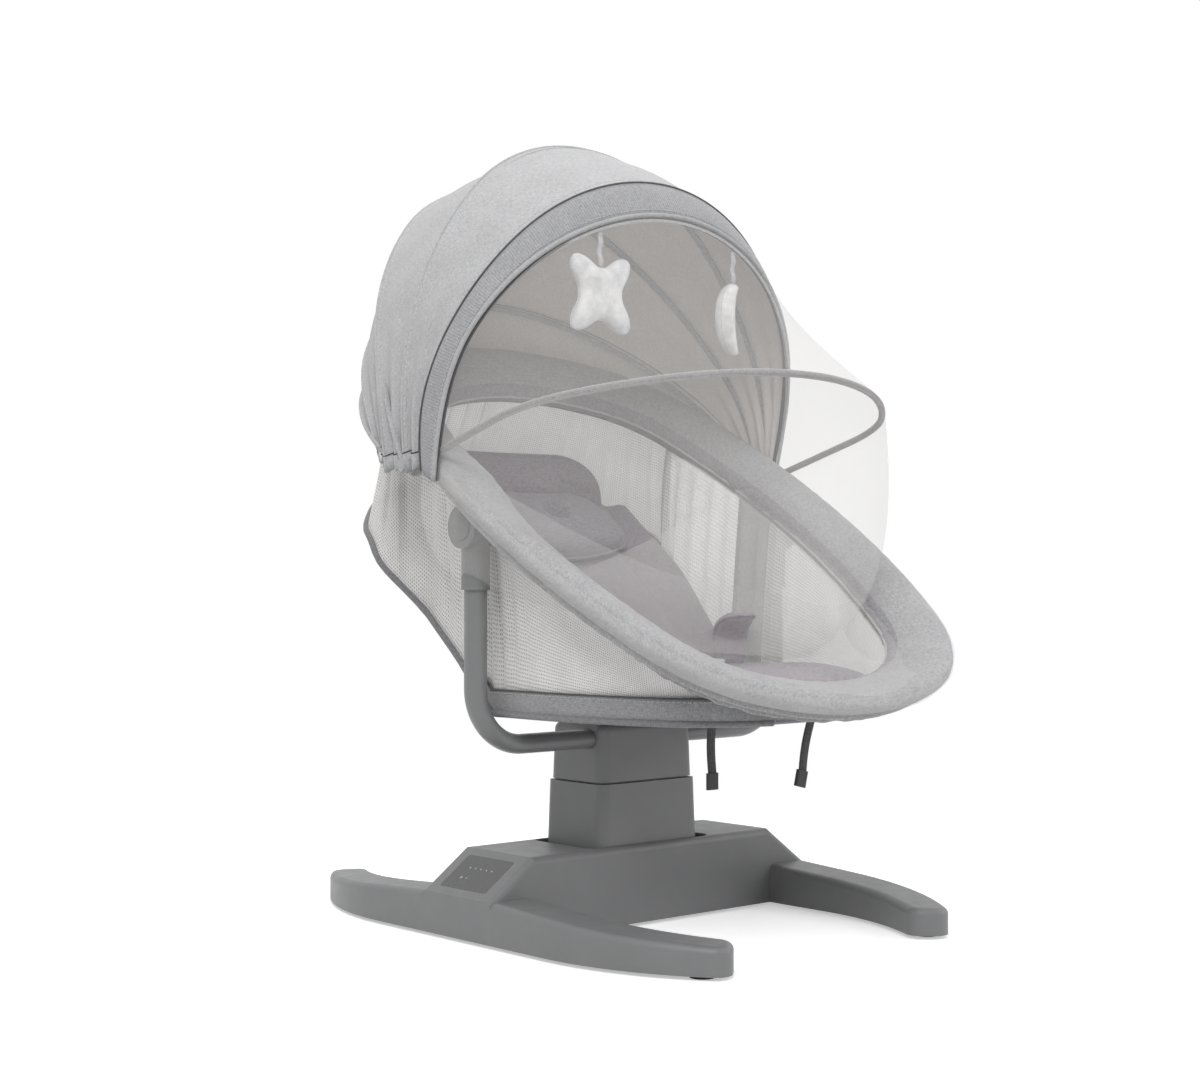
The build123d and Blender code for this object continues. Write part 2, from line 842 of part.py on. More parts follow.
def rim_spot(turn, inset, lift):
    """Point by the rim on the left: turn 0 at the side, 90 at the foot, -90 at the head."""
    t = math.radians(abs(turn))
    if t <= a1:
        x = rim_half_w - rim_side * (1 - math.cos(t))
        u = rim_side * math.sin(t)
    elif t <= a2:
        x = corner_x + rim_corner * math.cos(t)
        u = corner_u + rim_corner * math.sin(t)
    else:
        x = rim_end * math.cos(t)
        u = rim_half_l - rim_end + rim_end * math.sin(t)
    x = x - inset * math.cos(t)
    u = u - inset * math.sin(t)
    if turn > 0:
        u = -u
    return Vector(
        -x, rim_y + u * cos_t - lift * sin_t, rim_z + u * sin_t + lift * cos_t
    )


def side_spot(back):
    """Rim point on the left side that lies at a given distance behind the origin."""
    u = (back - rim_y) / cos_t
    turn = math.degrees(math.asin(u / rim_side))
    return turn, rim_spot(-turn, 0, 0)


hub_turn, hub_spot = side_spot(arm_y)
fan_turn, fan_spot = side_spot(fan_y)
joint_turn = math.degrees(rim_joint_gap / 2 / rim_side)


def rim_wire(first, last):
    with BuildLine(rim_plane) as path:
        for k, (centre, radius, start, turn) in enumerate(rim_arcs):
            if k in range(first, last + 1) or (first > last and (k >= first or k <= last)):
                if k == 0 and first == 0:
                    start, turn = 180 - hub_turn + joint_turn, d1 + hub_turn - joint_turn
                if k == 4 and last == 4:
                    turn = d1 + hub_turn - joint_turn
                if k == 4 and first == 4:
                    start, turn = hub_turn + joint_turn, d1 - hub_turn - joint_turn
                if k == 0 and last == 0:
                    turn = d1 - hub_turn - joint_turn
                CenterArc(centre, radius, start, turn)
    return path.wires()[0]


def rim_tube(first, last):
    wire = rim_wire(first, last)
    with BuildSketch(Plane(origin=wire @ 0, z_dir=wire % 0)) as section:
        Circle(rim_tube_radius)
        Circle(rim_tube_radius - rim_tube_wall, mode=Mode.SUBTRACT)
    sweep(section.sketch, path=wire)


with BuildPart() as rim_tubes:
    rim_tube(0, 4)
    rim_tube(4, 0)
save(rim_tubes, "rim_tubes")


def ring(half_w, half_t, lean, mode=Mode.ADD):
    """Section of given half sizes carried round the whole rim, arc by arc."""
    normal = rim_plane.z_dir
    for centre, radius, start, turn in rim_arcs:
        s = math.radians(start)
        out = rim_plane.x_dir * math.cos(s) + rim_plane.y_dir * math.sin(s)
        middle = rim_plane.from_local_coords(Vector(centre[0], centre[1], 0))
        spot = middle + out * radius
        across = Plane(origin=spot, x_dir=out, z_dir=normal.cross(out))
        with BuildSketch(across) as section:
            Ellipse(half_w, half_t, rotation=lean)
        revolve(
            section.sketch, axis=Axis(middle, normal), revolution_arc=turn, mode=mode
        )


# Rim bracket: a clamp on the rim tubes, a plate beside the eye and the pivot pin
clamp_plane = Plane(
    origin=(hub_spot.X, hub_spot.Y, hub_spot.Z),
    x_dir=(1, 0, 0),
    z_dir=rim_plane.z_dir,
)
plate_x = eye_inner_x - 0.5
clamp_in = -hub_spot.X - (plate_x - plate_thick)


def clamp(spare):
    with BuildSketch(clamp_plane.offset(-bracket_under - spare)) as block:
        with Locations(((clamp_in - bracket_side) / 2, 0)):
            Rectangle(clamp_in + bracket_side + 2 * spare, 2 * (bracket_half + spare))
    extrude(block.sketch, amount=bracket_under + bracket_over + 2 * spare)
    with BuildSketch(hub_out.offset(plate_x - plate_thick - spare)) as plate:
        with BuildLine():
            Polyline(
                (-bracket_half - spare, 0),
                (-bracket_half - spare, hub_spot.Z - hub_z),
                (bracket_half + spare, hub_spot.Z - hub_z),
                (bracket_half + spare, 0),
                close=True,
            )
        make_face()
        Circle(eye_radius - 1 + spare)
    extrude(plate.sketch, amount=plate_thick + 2 * spare)


with BuildPart() as bracket:
    clamp(0)
    with BuildSketch(hub_out.offset(plate_x)):
        Circle(pivot_radius)
    extrude(amount=eye_outer_x - button_recess - plate_x - 1)
    side_mid = rim_plane.from_local_coords(Vector(rim_side - rim_half_w, 0, 0))
    first = math.radians(180 - hub_turn - 6)
    first_out = rim_plane.x_dir * math.cos(first) + rim_plane.y_dir * math.sin(first)
    with BuildSketch(
        Plane(
            origin=side_mid + first_out * rim_side,
            x_dir=first_out,
            z_dir=rim_plane.z_dir.cross(first_out),
        )
    ):
        Circle(rim_tube_radius + fixed_gap)
    revolve(
        axis=Axis(side_mid, rim_plane.z_dir), revolution_arc=12, mode=Mode.SUBTRACT
    )
save(bracket, "rim_bracket_left")
mirrored(bracket, "rim_bracket_right")

# Ears that carry the canopy: a clamp through the pad's edge, a plate and the fan pin
ear_plane = Plane(
    origin=(fan_spot.X, fan_spot.Y, fan_spot.Z),
    x_dir=(1, 0, 0),
    z_dir=rim_plane.z_dir,
)
fan_out = Plane(origin=(0, fan_y, fan_z), x_dir=(0, -1, 0), z_dir=(-1, 0, 0))
ear_outer = fan_first_x - hoop_thick / 2 - seat_gap
ear_in = rim_tube_radius + 4
fan_end = fan_first_x + 3 * fan_pitch + hoop_thick / 2 + seat_gap


def ear_block(spare):
    width = ear_outer + fan_spot.X + ear_in
    with BuildSketch(ear_plane.offset(-ear_depth - spare)) as block:
        with Locations((ear_in - width / 2, 0)):
            Rectangle(width + 2 * spare, 2 * (ear_half + spare))
    extrude(block.sketch, amount=2 * (ear_depth + spare))


with BuildPart() as ear:
    ear_block(0)
    with BuildSketch(fan_out.offset(ear_outer - ear_thick)):
        with BuildLine():
            Polyline(
                (-ear_half, 0),
                (-ear_half, fan_spot.Z - fan_z),
                (ear_half, fan_spot.Z - fan_z),
                (ear_half, 0),
                close=True,
            )
        make_face()
        Circle(ear_half)
    extrude(amount=ear_thick)
    with BuildSketch(fan_out.offset(ear_outer)):
        Circle(fan_pin)
    extrude(amount=fan_end - ear_outer)
    with BuildSketch(fan_out.offset(fan_end)):
        Circle(fan_head)
    extrude(amount=fan_head_thick)
    first = math.radians(180 - fan_turn - 5)
    first_out = rim_plane.x_dir * math.cos(first) + rim_plane.y_dir * math.sin(first)
    with BuildSketch(
        Plane(
            origin=side_mid + first_out * rim_side,
            x_dir=first_out,
            z_dir=rim_plane.z_dir.cross(first_out),
        )
    ):
        Circle(rim_tube_radius + fixed_gap)
    revolve(
        axis=Axis(side_mid, rim_plane.z_dir), revolution_arc=10, mode=Mode.SUBTRACT
    )
with BuildPart() as ears:
    add(ear.part)
    mirror(ear.part, about=Plane.YZ)
save(ears, "canopy_ears")

# Rim pad: the padded roll round the tubes, with pockets for the clamps and hubs
with BuildPart() as pocket:
    clamp(seat_gap)
    ear_block(seat_gap)
    with BuildSketch(hub_out.offset(eye_inner_x - plate_thick - 2)):
        Circle(eye_radius + 1.5)
    extrude(amount=eye_outer_x + button_dome + 8 - eye_inner_x)
    with BuildSketch(fan_out.offset(ear_outer - ear_thick - 1)):
        Circle(ear_half + 2)
    extrude(amount=6 * ear_half)
with BuildPart() as pockets:
    add(pocket.part)
    mirror(pocket.part, about=Plane.YZ)
with BuildPart() as rim_pad:
    ring(rim_pad_half_w, rim_pad_half_t, -rim_pad_lean)
    ring(
        rim_tube_radius + seat_gap, rim_tube_radius + seat_gap, 0, mode=Mode.SUBTRACT
    )
    add(pockets.part, mode=Mode.SUBTRACT)
save(rim_pad, "rim_pad")

# Seat and back boards, and the wall that stands on them
board_top = board_z + board_thickness
bend_y = column_y + board_bend_y
slope = math.tan(math.radians(back_angle))


def wall_head_share(turn):
    """How far the wall has passed from the rim's inner edge to its outer edge."""
    share = (-turn - wall_out_from) / (wall_out_to - wall_out_from)
    share = min(1.0, max(0.0, share))
    return share * share * (3 - 2 * share)


def wall_top(turn):
    share = wall_head_share(turn)
    inset = wall_inset - (wall_inset + wall_outset) * share
    drop = wall_drop + wall_pass_drop * min(1.0, share / 0.2)
    if share > 0.6:
        drop = drop + (wall_out_drop - drop) * (share - 0.6) / 0.4
    return rim_spot(turn, inset, -drop)


def wall_foot(turn):
    """Where the wall meets the boards, for a rim turn."""
    top = wall_top(turn)
    lean = wall_lean + (wall_out_lean - wall_lean) * wall_head_share(turn)
    y = top.Y + head_bulge * (max(0.0, -turn) / 90.0) ** 1.5
    past = max(0.0, y - bend_y)
    stand = seat_gap + (wall_stand - seat_gap) * min(1.0, past / wall_stand_run)
    z = board_top + stand + past * slope
    return Vector(top.X * lean, y, z)


def wall(first, last, pleats):
    faces = []
    for k in range(wall_stations):
        turn = first + (last - first) * k / (wall_stations - 1)
        shift = pleat_depth * (-1) ** k if pleats else 0
        top = wall_top(turn)
        foot = wall_foot(turn)
        t = math.radians(turn)
        out = Vector(-math.cos(t), -math.sin(t) * cos_t, 0).normalized()
        foot = foot + out * (-shift)
        half = out * (wall_thick / 2)
        corners = [top + half, top - half, foot - half, foot + half]
        faces.append(Face(Wire.make_polygon(corners)))
    loft(faces, ruled=True)


with BuildPart() as wall_left:
    wall(wall_foot_turn, -wall_head_turn + 1, False)
save(wall_left, "mesh_wall_left")
mirrored(wall_left, "mesh_wall_right")
with BuildPart() as wall_head:
    wall(-wall_head_turn, -90, True)
    mirror(wall_head.part, about=Plane.YZ)
save(wall_head, "mesh_wall_head")


def board_half(y):
    """Half width of the boards at a distance behind the origin."""
    best = 0.0
    for k in range(-90, 76):
        a, b = wall_foot(k), wall_foot(k + 1)
        if (a.Y - y) * (b.Y - y) <= 0 and a.Y != b.Y:
            share = (y - a.Y) / (b.Y - a.Y)
            best = -(a.X + (b.X - a.X) * share)
    return best + board_margin


foot_y = column_y + board_foot_y
with BuildPart() as seat_board:
    with BuildSketch(Plane.XY.offset(board_z)):
        rows = 9
        front = max(foot_y, wall_foot(75).Y)
        edge = []
        for k in range(rows + 1):
            y = front + (bend_y - seat_gap - front) * k / rows
            edge.append((-board_half(y), y))
        back = [(-x, y) for x, y in reversed(edge)]
        with BuildLine():
            Polyline(*edge, *back, close=True)
        make_face()
    extrude(amount=board_thickness)
save(seat_board, "seat_board")

back_plane = Plane(
    origin=(0, bend_y, board_top),
    x_dir=(1, 0, 0),
    z_dir=(0, -math.sin(math.radians(back_angle)), math.cos(math.radians(back_angle))),
)
cos_b = math.cos(math.radians(back_angle))
head_y = wall_foot(-90).Y
with BuildPart() as back_board:
    with BuildSketch(back_plane):
        rows = 9
        edge = []
        for k in range(rows + 1):
            y = bend_y + board_thickness + (head_y - 1 - bend_y - board_thickness) * k / rows
            edge.append((-board_half(y), (y - bend_y) / cos_b))
        back = [(-x, y) for x, y in reversed(edge)]
        with BuildLine():
            Polyline(*edge, *back, close=True)
        make_face()
    extrude(amount=-board_thickness)
save(back_board, "back_board")


# Pads: crowned sections with drawn-in sides, lofted along the seat
def pad_section(half, side, crown):
    tuck = side * 0.22
    with BuildLine() as outline:
        Line((-half + tuck, 0), (half - tuck, 0))
        ThreePointArc((half - tuck, 0), (half, side * 0.5), (half - tuck, side))
        ThreePointArc((half - tuck, side), (0, crown), (-half + tuck, side))
        ThreePointArc((-half + tuck, side), (-half, side * 0.5), (-half + tuck, 0))
    make_face(outline.edges())


def swell(share, first, last):
    """Rounded rise over the first part of a pad and fall over its last part."""
    rise = 1.0
    if share < first:
        rise = math.sqrt(1 - (1 - share / first) ** 2)
    if share > 1 - last:
        rise = min(rise, math.sqrt(1 - (1 - (1 - share) / last) ** 2))
    return pad_edge + (1 - pad_edge) * rise


def section_shares():
    """Shares from 0 to 1, closer together at the ends."""
    last = pad_sections - 1
    return [(1 - math.cos(math.pi * k / last)) / 2 for k in range(pad_sections)]


pad_rest = board_top + seat_gap
front = column_y + seat_pad_front
back = column_y + seat_pad_back
with BuildPart() as seat_pad:
    for share in section_shares():
        y = front + (back - front) * share
        tall = swell(share, 0.12, 0.1)
        half = min(seat_pad_half_w, board_half(y) - 12) * (0.8 + 0.2 * tall)
        with BuildSketch(
            Plane(origin=(0, y, pad_rest), x_dir=(1, 0, 0), z_dir=(0, -1, 0))
        ):
            pad_section(half, seat_pad_side * tall, seat_pad_crown * tall)
    loft(ruled=True)
    for k in range(1, channel_count):
        y = front + (back - front) * k / channel_count
        groove = Plane(
            origin=(0, y, pad_rest + seat_pad_crown + channel_radius * 0.55),
            x_dir=(0, 1, 0),
            z_dir=(1, 0, 0),
        )
        with BuildSketch(groove):
            Circle(channel_radius)
        extrude(amount=seat_pad_half_w * 0.55, both=True, mode=Mode.SUBTRACT)
save(seat_pad, "seat_pad")

# Back pad: up the slope, then curled up against the head wall
curl_turn = back_pad_lean - back_angle


def back_path(share):
    """Place and tangent angle on the back pad's underside, share 0 to 1."""
    arc = math.radians(curl_turn) * back_pad_curl
    whole = back_pad_run + arc + back_pad_rise
    s = share * whole
    a = math.radians(back_angle)
    y = (back_pad_start + min(s, back_pad_run)) * math.cos(a)
    z = (back_pad_start + min(s, back_pad_run)) * math.sin(a)
    bend = 0.0
    if s > back_pad_run:
        bend = min(s - back_pad_run, arc) / back_pad_curl
        y = y + back_pad_curl * (math.sin(a + bend) - math.sin(a))
        z = z + back_pad_curl * (math.cos(a) - math.cos(a + bend))
    if s > back_pad_run + arc:
        y = y + (s - back_pad_run - arc) * math.cos(a + bend)
        z = z + (s - back_pad_run - arc) * math.sin(a + bend)
    lift = seat_gap / math.cos(a)
    return bend_y + y, board_top + lift + z, math.degrees(a + bend)


with BuildPart() as back_pad:
    room = back_pad_half_w
    for share in section_shares():
        y, z, angle = back_path(share)
        a = math.radians(angle)
        tall = swell(share, 0.08, 0.12)
        room = min(room, board_half(y) - 14)
        half = room * (0.8 + 0.2 * tall)
        with BuildSketch(
            Plane(
                origin=(0, y, z),
                x_dir=(1, 0, 0),
                z_dir=(0, -math.cos(a), -math.sin(a)),
            )
        ):
            pad_section(half, back_pad_side * tall, back_pad_crown * tall)
    loft(ruled=True)
    for k in range(channel_count):
        x = (k - (channel_count - 1) / 2) * channel_step
        drop = (back_pad_crown - back_pad_side) * (x / back_pad_half_w) ** 2
        run = Plane(
            origin=back_plane.from_local_coords(
                Vector(x, back_pad_start, back_pad_crown - drop + channel_radius * 0.6)
            ),
            x_dir=(1, 0, 0),
            z_dir=back_plane.y_dir,
        )
        with BuildSketch(run):
            Circle(channel_radius)
        extrude(amount=back_pad_run * 0.5, mode=Mode.SUBTRACT)
save(back_pad, "back_pad")

# Head pillow on the back pad
pillow_low = back_pad_crown + 2 * seat_gap
with BuildPart() as pillow:
    for share, wide, tall in [
        (0.0, 0.86, 0.4),
        (0.2, 1.0, 0.95),
        (0.55, 0.98, 1.0),
        (0.85, 0.84, 0.85),
        (1.0, 0.62, 0.35),
    ]:
        spot = back_plane.from_local_coords(
            Vector(0, back_pad_start + pillow_start + pillow_length * share, pillow_low)
        )
        with BuildSketch(
            Plane(origin=spot, x_dir=(1, 0, 0), z_dir=back_plane.y_dir * -1)
        ):
            pad_section(
                pillow_half_w * wide, pillow_thick * 0.6 * tall, pillow_thick * tall
            )
    loft()
save(pillow, "head_pillow")

# Crotch pad: a curled flap that stands at the seat pad's back edge
crotch_low = pad_rest + seat_pad_crown + seat_gap
crotch_at = column_y + crotch_y
with BuildPart() as crotch:
    for share, wide, lean in [(0.0, 0.8, 0.0), (0.4, 1.0, 6.0), (0.8, 0.9, 2.0), (1.0, 0.7, -4.0)]:
        spot = (0, crotch_at - 22 - lean, crotch_low + crotch_height * share)
        with BuildSketch(Plane(origin=spot, x_dir=(1, 0, 0), z_dir=(0, 0, 1))):
            pad_section(crotch_half_w * wide, crotch_thick * 0.7, crotch_thick)
    loft()
save(crotch, "crotch_pad")

# Buckle lying on the pad beside the flap
with BuildPart() as buckle:
    with BuildSketch(
        Plane.XY.offset(pad_rest + seat_pad_crown - buckle_sink)
    ):
        with Locations((-crotch_half_w - buckle_width / 2 - 2, crotch_at - 16)):
            RectangleRounded(buckle_width, buckle_length, 6)
    extrude(amount=buckle_thick)
    fillet(buckle.faces().sort_by(Axis.Z)[-1].edges(), 2.5)
save(buckle, "harness_buckle")


# Strap tails below the seat board, each with a clip at its end
def tail_plane(x, y, lean):
    a = math.radians(lean)
    return Plane(
        origin=(x, column_y + y, board_z),
        x_dir=(math.cos(a), 0, math.sin(a)),
        z_dir=(math.sin(a), 0, -math.cos(a)),
    )


tail_rise = strap_width / 2 * math.sin(math.radians(strap_lean)) + seat_gap
tails = [
    (tail_plane(strap_left_x, strap_left_y, 0), seat_gap),
    (tail_plane(strap_right_x, strap_right_y, -strap_lean), tail_rise),
]
with BuildPart() as strap_tails:
    for place, rise in tails:
        with BuildSketch(place.offset(rise)):
            Rectangle(strap_width, strap_thick)
        extrude(amount=strap_drop - rise)
save(strap_tails, "strap_tails")
with BuildPart() as clips:
    for place, rise in tails:
        with BuildSketch(place.offset(strap_drop + seat_gap)):
            RectangleRounded(clip_width, clip_thick, 2)
        extrude(amount=clip_length)
save(clips, "strap_clips")


# Arches: legs, corner arcs and a crown arc, all tangent, in a plane through the pivots
def fan_plane(angle):
    a = math.radians(angle)
    return Plane(
        origin=(0, fan_y, fan_z),
        x_dir=(1, 0, 0),
        z_dir=(0, -math.sin(a), -math.cos(a)),
    )


def arch_line(half, height, leg_tall, start):
    """Legs, corner arcs and crown arc; the corner and crown radii follow from the sizes."""
    b = math.radians(hoop_turn)
    tall = height - leg_tall
    det = (1 - math.cos(b)) * (1 - math.sin(b)) - math.cos(b) * math.sin(b)
    corner = (half * (1 - math.sin(b)) - tall * math.cos(b)) / det
    crown = (tall * (1 - math.cos(b)) - half * math.sin(b)) / det
    Line((half, start), (half, leg_tall))
    CenterArc((half - corner, leg_tall), corner, 0, hoop_turn)
    CenterArc((0, height - crown), crown, hoop_turn, 180 - 2 * hoop_turn)
    CenterArc((corner - half, leg_tall), corner, 180 - hoop_turn, hoop_turn)
    Line((-half, leg_tall), (-half, start))
    return crown


def arch_band(angle, half, height, leg_tall, near, far, start):
    with BuildSketch(fan_plane(angle)) as section:
        with BuildLine():
            arch_line(half + far, height + far, leg_tall, start)
            Line((-half - far, start), (-half - near, start))
            arch_line(half + near, height + near, leg_tall, start)
            Line((half + near, start), (half + far, start))
        make_face()
    return section.sketch.faces()[0]


hoop_half = [fan_first_x + k * fan_pitch for k in range(4)]
net_half, front_half, middle_half, rear_half = hoop_half
fixed_half = ear_outer - ear_thick / 2


def hoop(angle, half, height, leg_tall, start, eyes):
    plane = fan_plane(angle)
    with BuildLine(plane) as path:
        arch_line(half, height, leg_tall, start)
    wire = path.wires()[0]
    spot = plane.from_local_coords(Vector(half, start, 0))
    across = Plane(origin=spot, x_dir=(1, 0, 0), z_dir=plane.y_dir)
    with BuildSketch(across) as section:
        Rectangle(hoop_thick, hoop_width)
    sweep(section.sketch, path=wire)
    if eyes:
        for end in (-1, 1):
            with BuildSketch(fan_out.offset(end * half - hoop_thick / 2)) as eye:
                Circle(hoop_eye)
            extrude(eye.sketch, amount=hoop_thick)
        with BuildSketch(fan_out) as bore:
            Circle(fan_pin + run_gap)
        extrude(bore.sketch, amount=2 * half, both=True, mode=Mode.SUBTRACT)


with BuildPart() as hoop_front:
    hoop(front_angle, front_half, front_height, hoop_leg, 0, True)
save(hoop_front, "canopy_hoop_front")
with BuildPart() as hoop_middle:
    hoop(middle_angle, middle_half, middle_height, hoop_leg, 0, True)
save(hoop_middle, "canopy_hoop_middle")
with BuildPart() as hoop_rear:
    hoop(rear_angle, rear_half, rear_height, hoop_leg, 0, True)
save(hoop_rear, "canopy_hoop_rear")
with BuildPart() as hoop_fixed:
    aside = math.radians(180 - fixed_angle - rim_tilt)
    ear_rise = (fan_spot.Z - fan_z) * sin_t
    root = ear_half + ear_rise + hoop_width / 2 * math.sin(aside) + seat_gap
    root = root / math.cos(aside)
    hoop(fixed_angle, fixed_half, fixed_height - fixed_drop, hoop_leg, root, False)
save(hoop_fixed, "canopy_hoop_fixed")
with BuildPart() as net_bow:
    hoop(net_angle, net_half, net_height, net_leg, 0, True)
save(net_bow, "net_bow")

# Canopy cloth: bands between the hoops, bulging a little between them
near = hoop_thick / 2 + cloth_gap
far = near + cloth_thick


def gore(first, last, raise_mid):
    angle_0, half_0, height_0 = first
    angle_1, half_1, height_1 = last
    spots = [first]
    if raise_mid:
        height_mid = (height_0 + height_1) / 2 + raise_mid
        spots.append(((angle_0 + angle_1) / 2, (half_0 + half_1) / 2, height_mid))
    spots.append(last)
    faces = []
    for angle, half, height in spots:
        faces.append(arch_band(angle, half, height, hoop_leg, near, far, cloth_start))
    loft(faces)


band_height = front_height + band_rise
with BuildPart() as band:
    gore(
        (front_angle, front_half, front_height),
        (band_angle, front_half, band_height),
        0,
    )
save(band, "canopy_front_band")
with BuildPart() as gore_front:
    gore(
        (band_angle + seam_turn, front_half, band_height),
        (middle_angle - seam_turn, middle_half, middle_height),
        gore_bulge,
    )
save(gore_front, "canopy_gore_front")
with BuildPart() as gore_middle:
    gore(
        (middle_angle + seam_turn, middle_half, middle_height),
        (rear_angle - seam_turn, rear_half, rear_height),
        gore_bulge,
    )
save(gore_middle, "canopy_gore_middle")
with BuildPart() as gore_rear:
    gore(
        (rear_angle + seam_turn, rear_half, rear_height),
        (fixed_angle - seam_turn, rear_half, fixed_height),
        gore_bulge,
    )
save(gore_rear, "canopy_gore_rear")
with BuildPart() as skirt:
    gore(
        (fixed_angle + seam_turn, rear_half, fixed_height),
        (skirt_angle, rear_half, skirt_height),
        0,
    )
save(skirt, "canopy_rear_skirt")

# Net: from the front hoop to the bow, and from the bow over the rim's foot end
net_far = near + net_thick
bow_shape = (net_half, net_height, net_leg)
front_shape = (front_half, front_height, hoop_leg)
sag_shape = (net_half + net_hem_out / 2, net_sag_height, net_sag_leg)
hem_shape = (net_half + net_hem_out, net_hem_height, net_hem_leg)


def net_band(angle, shape):
    return arch_band(angle, *shape, near, net_far, cloth_start)


with BuildPart() as net_upper:
    loft(
        [
            net_band(front_angle - seam_turn, front_shape),
            net_band(net_angle + seam_turn, bow_shape),
        ]
    )
save(net_upper, "net_upper")
with BuildPart() as net_front:
    loft(
        [
            net_band(net_angle - seam_turn, bow_shape),
            net_band(net_sag_angle, sag_shape),
            net_band(net_hem_angle, hem_shape),
        ]
    )
save(net_front, "net_front")


# Toys: each hangs from the front hoop on a ribbon
def hoop_height_at(x):
    """Height in the front hoop's plane at a distance from the middle, on its crown."""
    with BuildLine():
        crown = arch_line(front_half, front_height, hoop_leg, 0)
    return front_height - crown + math.sqrt(crown**2 - x**2)


hang = fan_plane(front_angle).from_local_coords(
    Vector(toy_x, hoop_height_at(toy_x) - hoop_thick / 2, 0)
)
slack = hoop_width / 2 * math.cos(math.radians(front_angle)) + 1.0
ribbon_top = hang.Z - slack
ribbon_low = ribbon_top - ribbon_length


def ribbon(x):
    with BuildSketch(Plane.XY.offset(ribbon_low)) as section:
        with Locations((x, hang.Y)):
            Rectangle(ribbon_width, ribbon_thick)
    extrude(section.sketch, amount=ribbon_length)


with BuildPart() as star_ribbon:
    ribbon(-toy_x)
save(star_ribbon, "star_ribbon")
with BuildPart() as moon_ribbon:
    ribbon(toy_x)
save(moon_ribbon, "moon_ribbon")


def star_outline(scale):
    corners = []
    for k in range(2 * star_points):
        r = (star_radius if k % 2 == 0 else star_waist) * scale
        a = math.radians(star_turn + 180.0 * k / star_points)
        corners.append((r * math.cos(a), r * math.sin(a)))
    with BuildLine() as outline:
        Polyline(*corners, close=True)
    make_face(outline.edges())


star_tip = star_radius * math.sin(math.radians(star_turn))
star_dip = (star_tip - star_waist) / star_tip * ribbon_width / 2
star_z = ribbon_low - seat_gap - star_waist - star_dip
with BuildPart() as star:
    for share, scale in [(-1.0, 0.5), (-0.6, 0.86), (0.0, 1.0), (0.6, 0.86), (1.0, 0.5)]:
        place = Plane(
            origin=(-toy_x, hang.Y - star_half_t * share, star_z),
            x_dir=(1, 0, 0),
            z_dir=(0, -1, 0),
        )
        with BuildSketch(place):
            star_outline(scale)
    loft(ruled=True)
save(star, "toy_star")

moon_z = ribbon_low - seat_gap - moon_radius


def moon_outline(scale):
    r = moon_radius * scale
    tip = math.radians(62)
    top = (r * math.cos(tip), r * math.sin(tip))
    low = (r * math.cos(tip), -r * math.sin(tip))
    inner = -moon_radius + (moon_radius - moon_bite + moon_shift) * 1.0
    depth = inner - (inner + moon_radius) * (1 - scale) * 0.5
    with BuildLine() as outline:
        ThreePointArc(top, (-r * 0.5, r * math.sin(math.radians(120))), (-r, 0))
        ThreePointArc((-r, 0), (-r * 0.5, -r * math.sin(math.radians(120))), low)
        ThreePointArc(low, (depth, 0), top)
    make_face(outline.edges())


moon_x = Vector(math.cos(math.radians(moon_turn)), math.sin(math.radians(moon_turn)), 0)
moon_n = Vector(moon_x.Y, -moon_x.X, 0)
with BuildPart() as moon:
    for share, scale in [(-1.0, 0.72), (-0.6, 0.92), (0.0, 1.0), (0.6, 0.92), (1.0, 0.72)]:
        middle = Vector(toy_x, hang.Y, moon_z) + moon_n * (moon_half_t * share)
        with BuildSketch(Plane(origin=middle, x_dir=moon_x, z_dir=moon_n)):
            moon_outline(scale)
    loft(ruled=True)
save(moon, "toy_moon")
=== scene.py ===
from math import copysign, cos, exp, pi, radians, sin, sqrt, tan, tau

import bpy
import numpy as np
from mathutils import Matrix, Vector
from mathutils.kdtree import KDTree


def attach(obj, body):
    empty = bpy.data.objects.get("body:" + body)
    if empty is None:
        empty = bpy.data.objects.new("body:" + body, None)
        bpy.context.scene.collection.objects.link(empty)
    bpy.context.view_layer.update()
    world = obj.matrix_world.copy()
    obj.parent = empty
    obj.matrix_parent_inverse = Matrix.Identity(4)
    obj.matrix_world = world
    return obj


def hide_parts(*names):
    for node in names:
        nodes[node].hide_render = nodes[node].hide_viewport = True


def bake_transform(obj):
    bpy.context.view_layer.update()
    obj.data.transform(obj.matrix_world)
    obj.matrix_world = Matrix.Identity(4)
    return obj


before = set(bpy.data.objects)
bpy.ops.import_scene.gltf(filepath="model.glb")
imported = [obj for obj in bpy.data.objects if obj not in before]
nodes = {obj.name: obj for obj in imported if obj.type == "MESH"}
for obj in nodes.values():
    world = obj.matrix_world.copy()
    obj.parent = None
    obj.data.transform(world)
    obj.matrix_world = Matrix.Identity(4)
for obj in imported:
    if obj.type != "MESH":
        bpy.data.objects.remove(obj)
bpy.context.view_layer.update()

rng = np.random.default_rng(7)

# Places and sizes shared with the part's source, in metres
CENTRE_Y = 0.034
FAN_Y, FAN_Z = CENTRE_Y + 0.033, 0.522
RIM_Y, RIM_Z, RIM_TILT = CENTRE_Y - 0.071, 0.467, radians(33.1)
RIM_W, RIM_L, RIM_CORNER = 0.250, 0.341, 0.150
BEND_Y, BOARD_TOP, BACK = CENTRE_Y - 0.008, 0.251, radians(38.3)
NET_HALF, FRONT_HALF, MIDDLE_HALF, REAR_HALF = 0.280, 0.284, 0.288, 0.292
FRONT_HEIGHT, TUB_FRONT = 0.311, -0.277
CLOTH_NEAR, CLOTH_FAR, CLOTH_START = 0.0033, 0.0053, 0.026
COS_TILT, SIN_TILT = cos(RIM_TILT), sin(RIM_TILT)

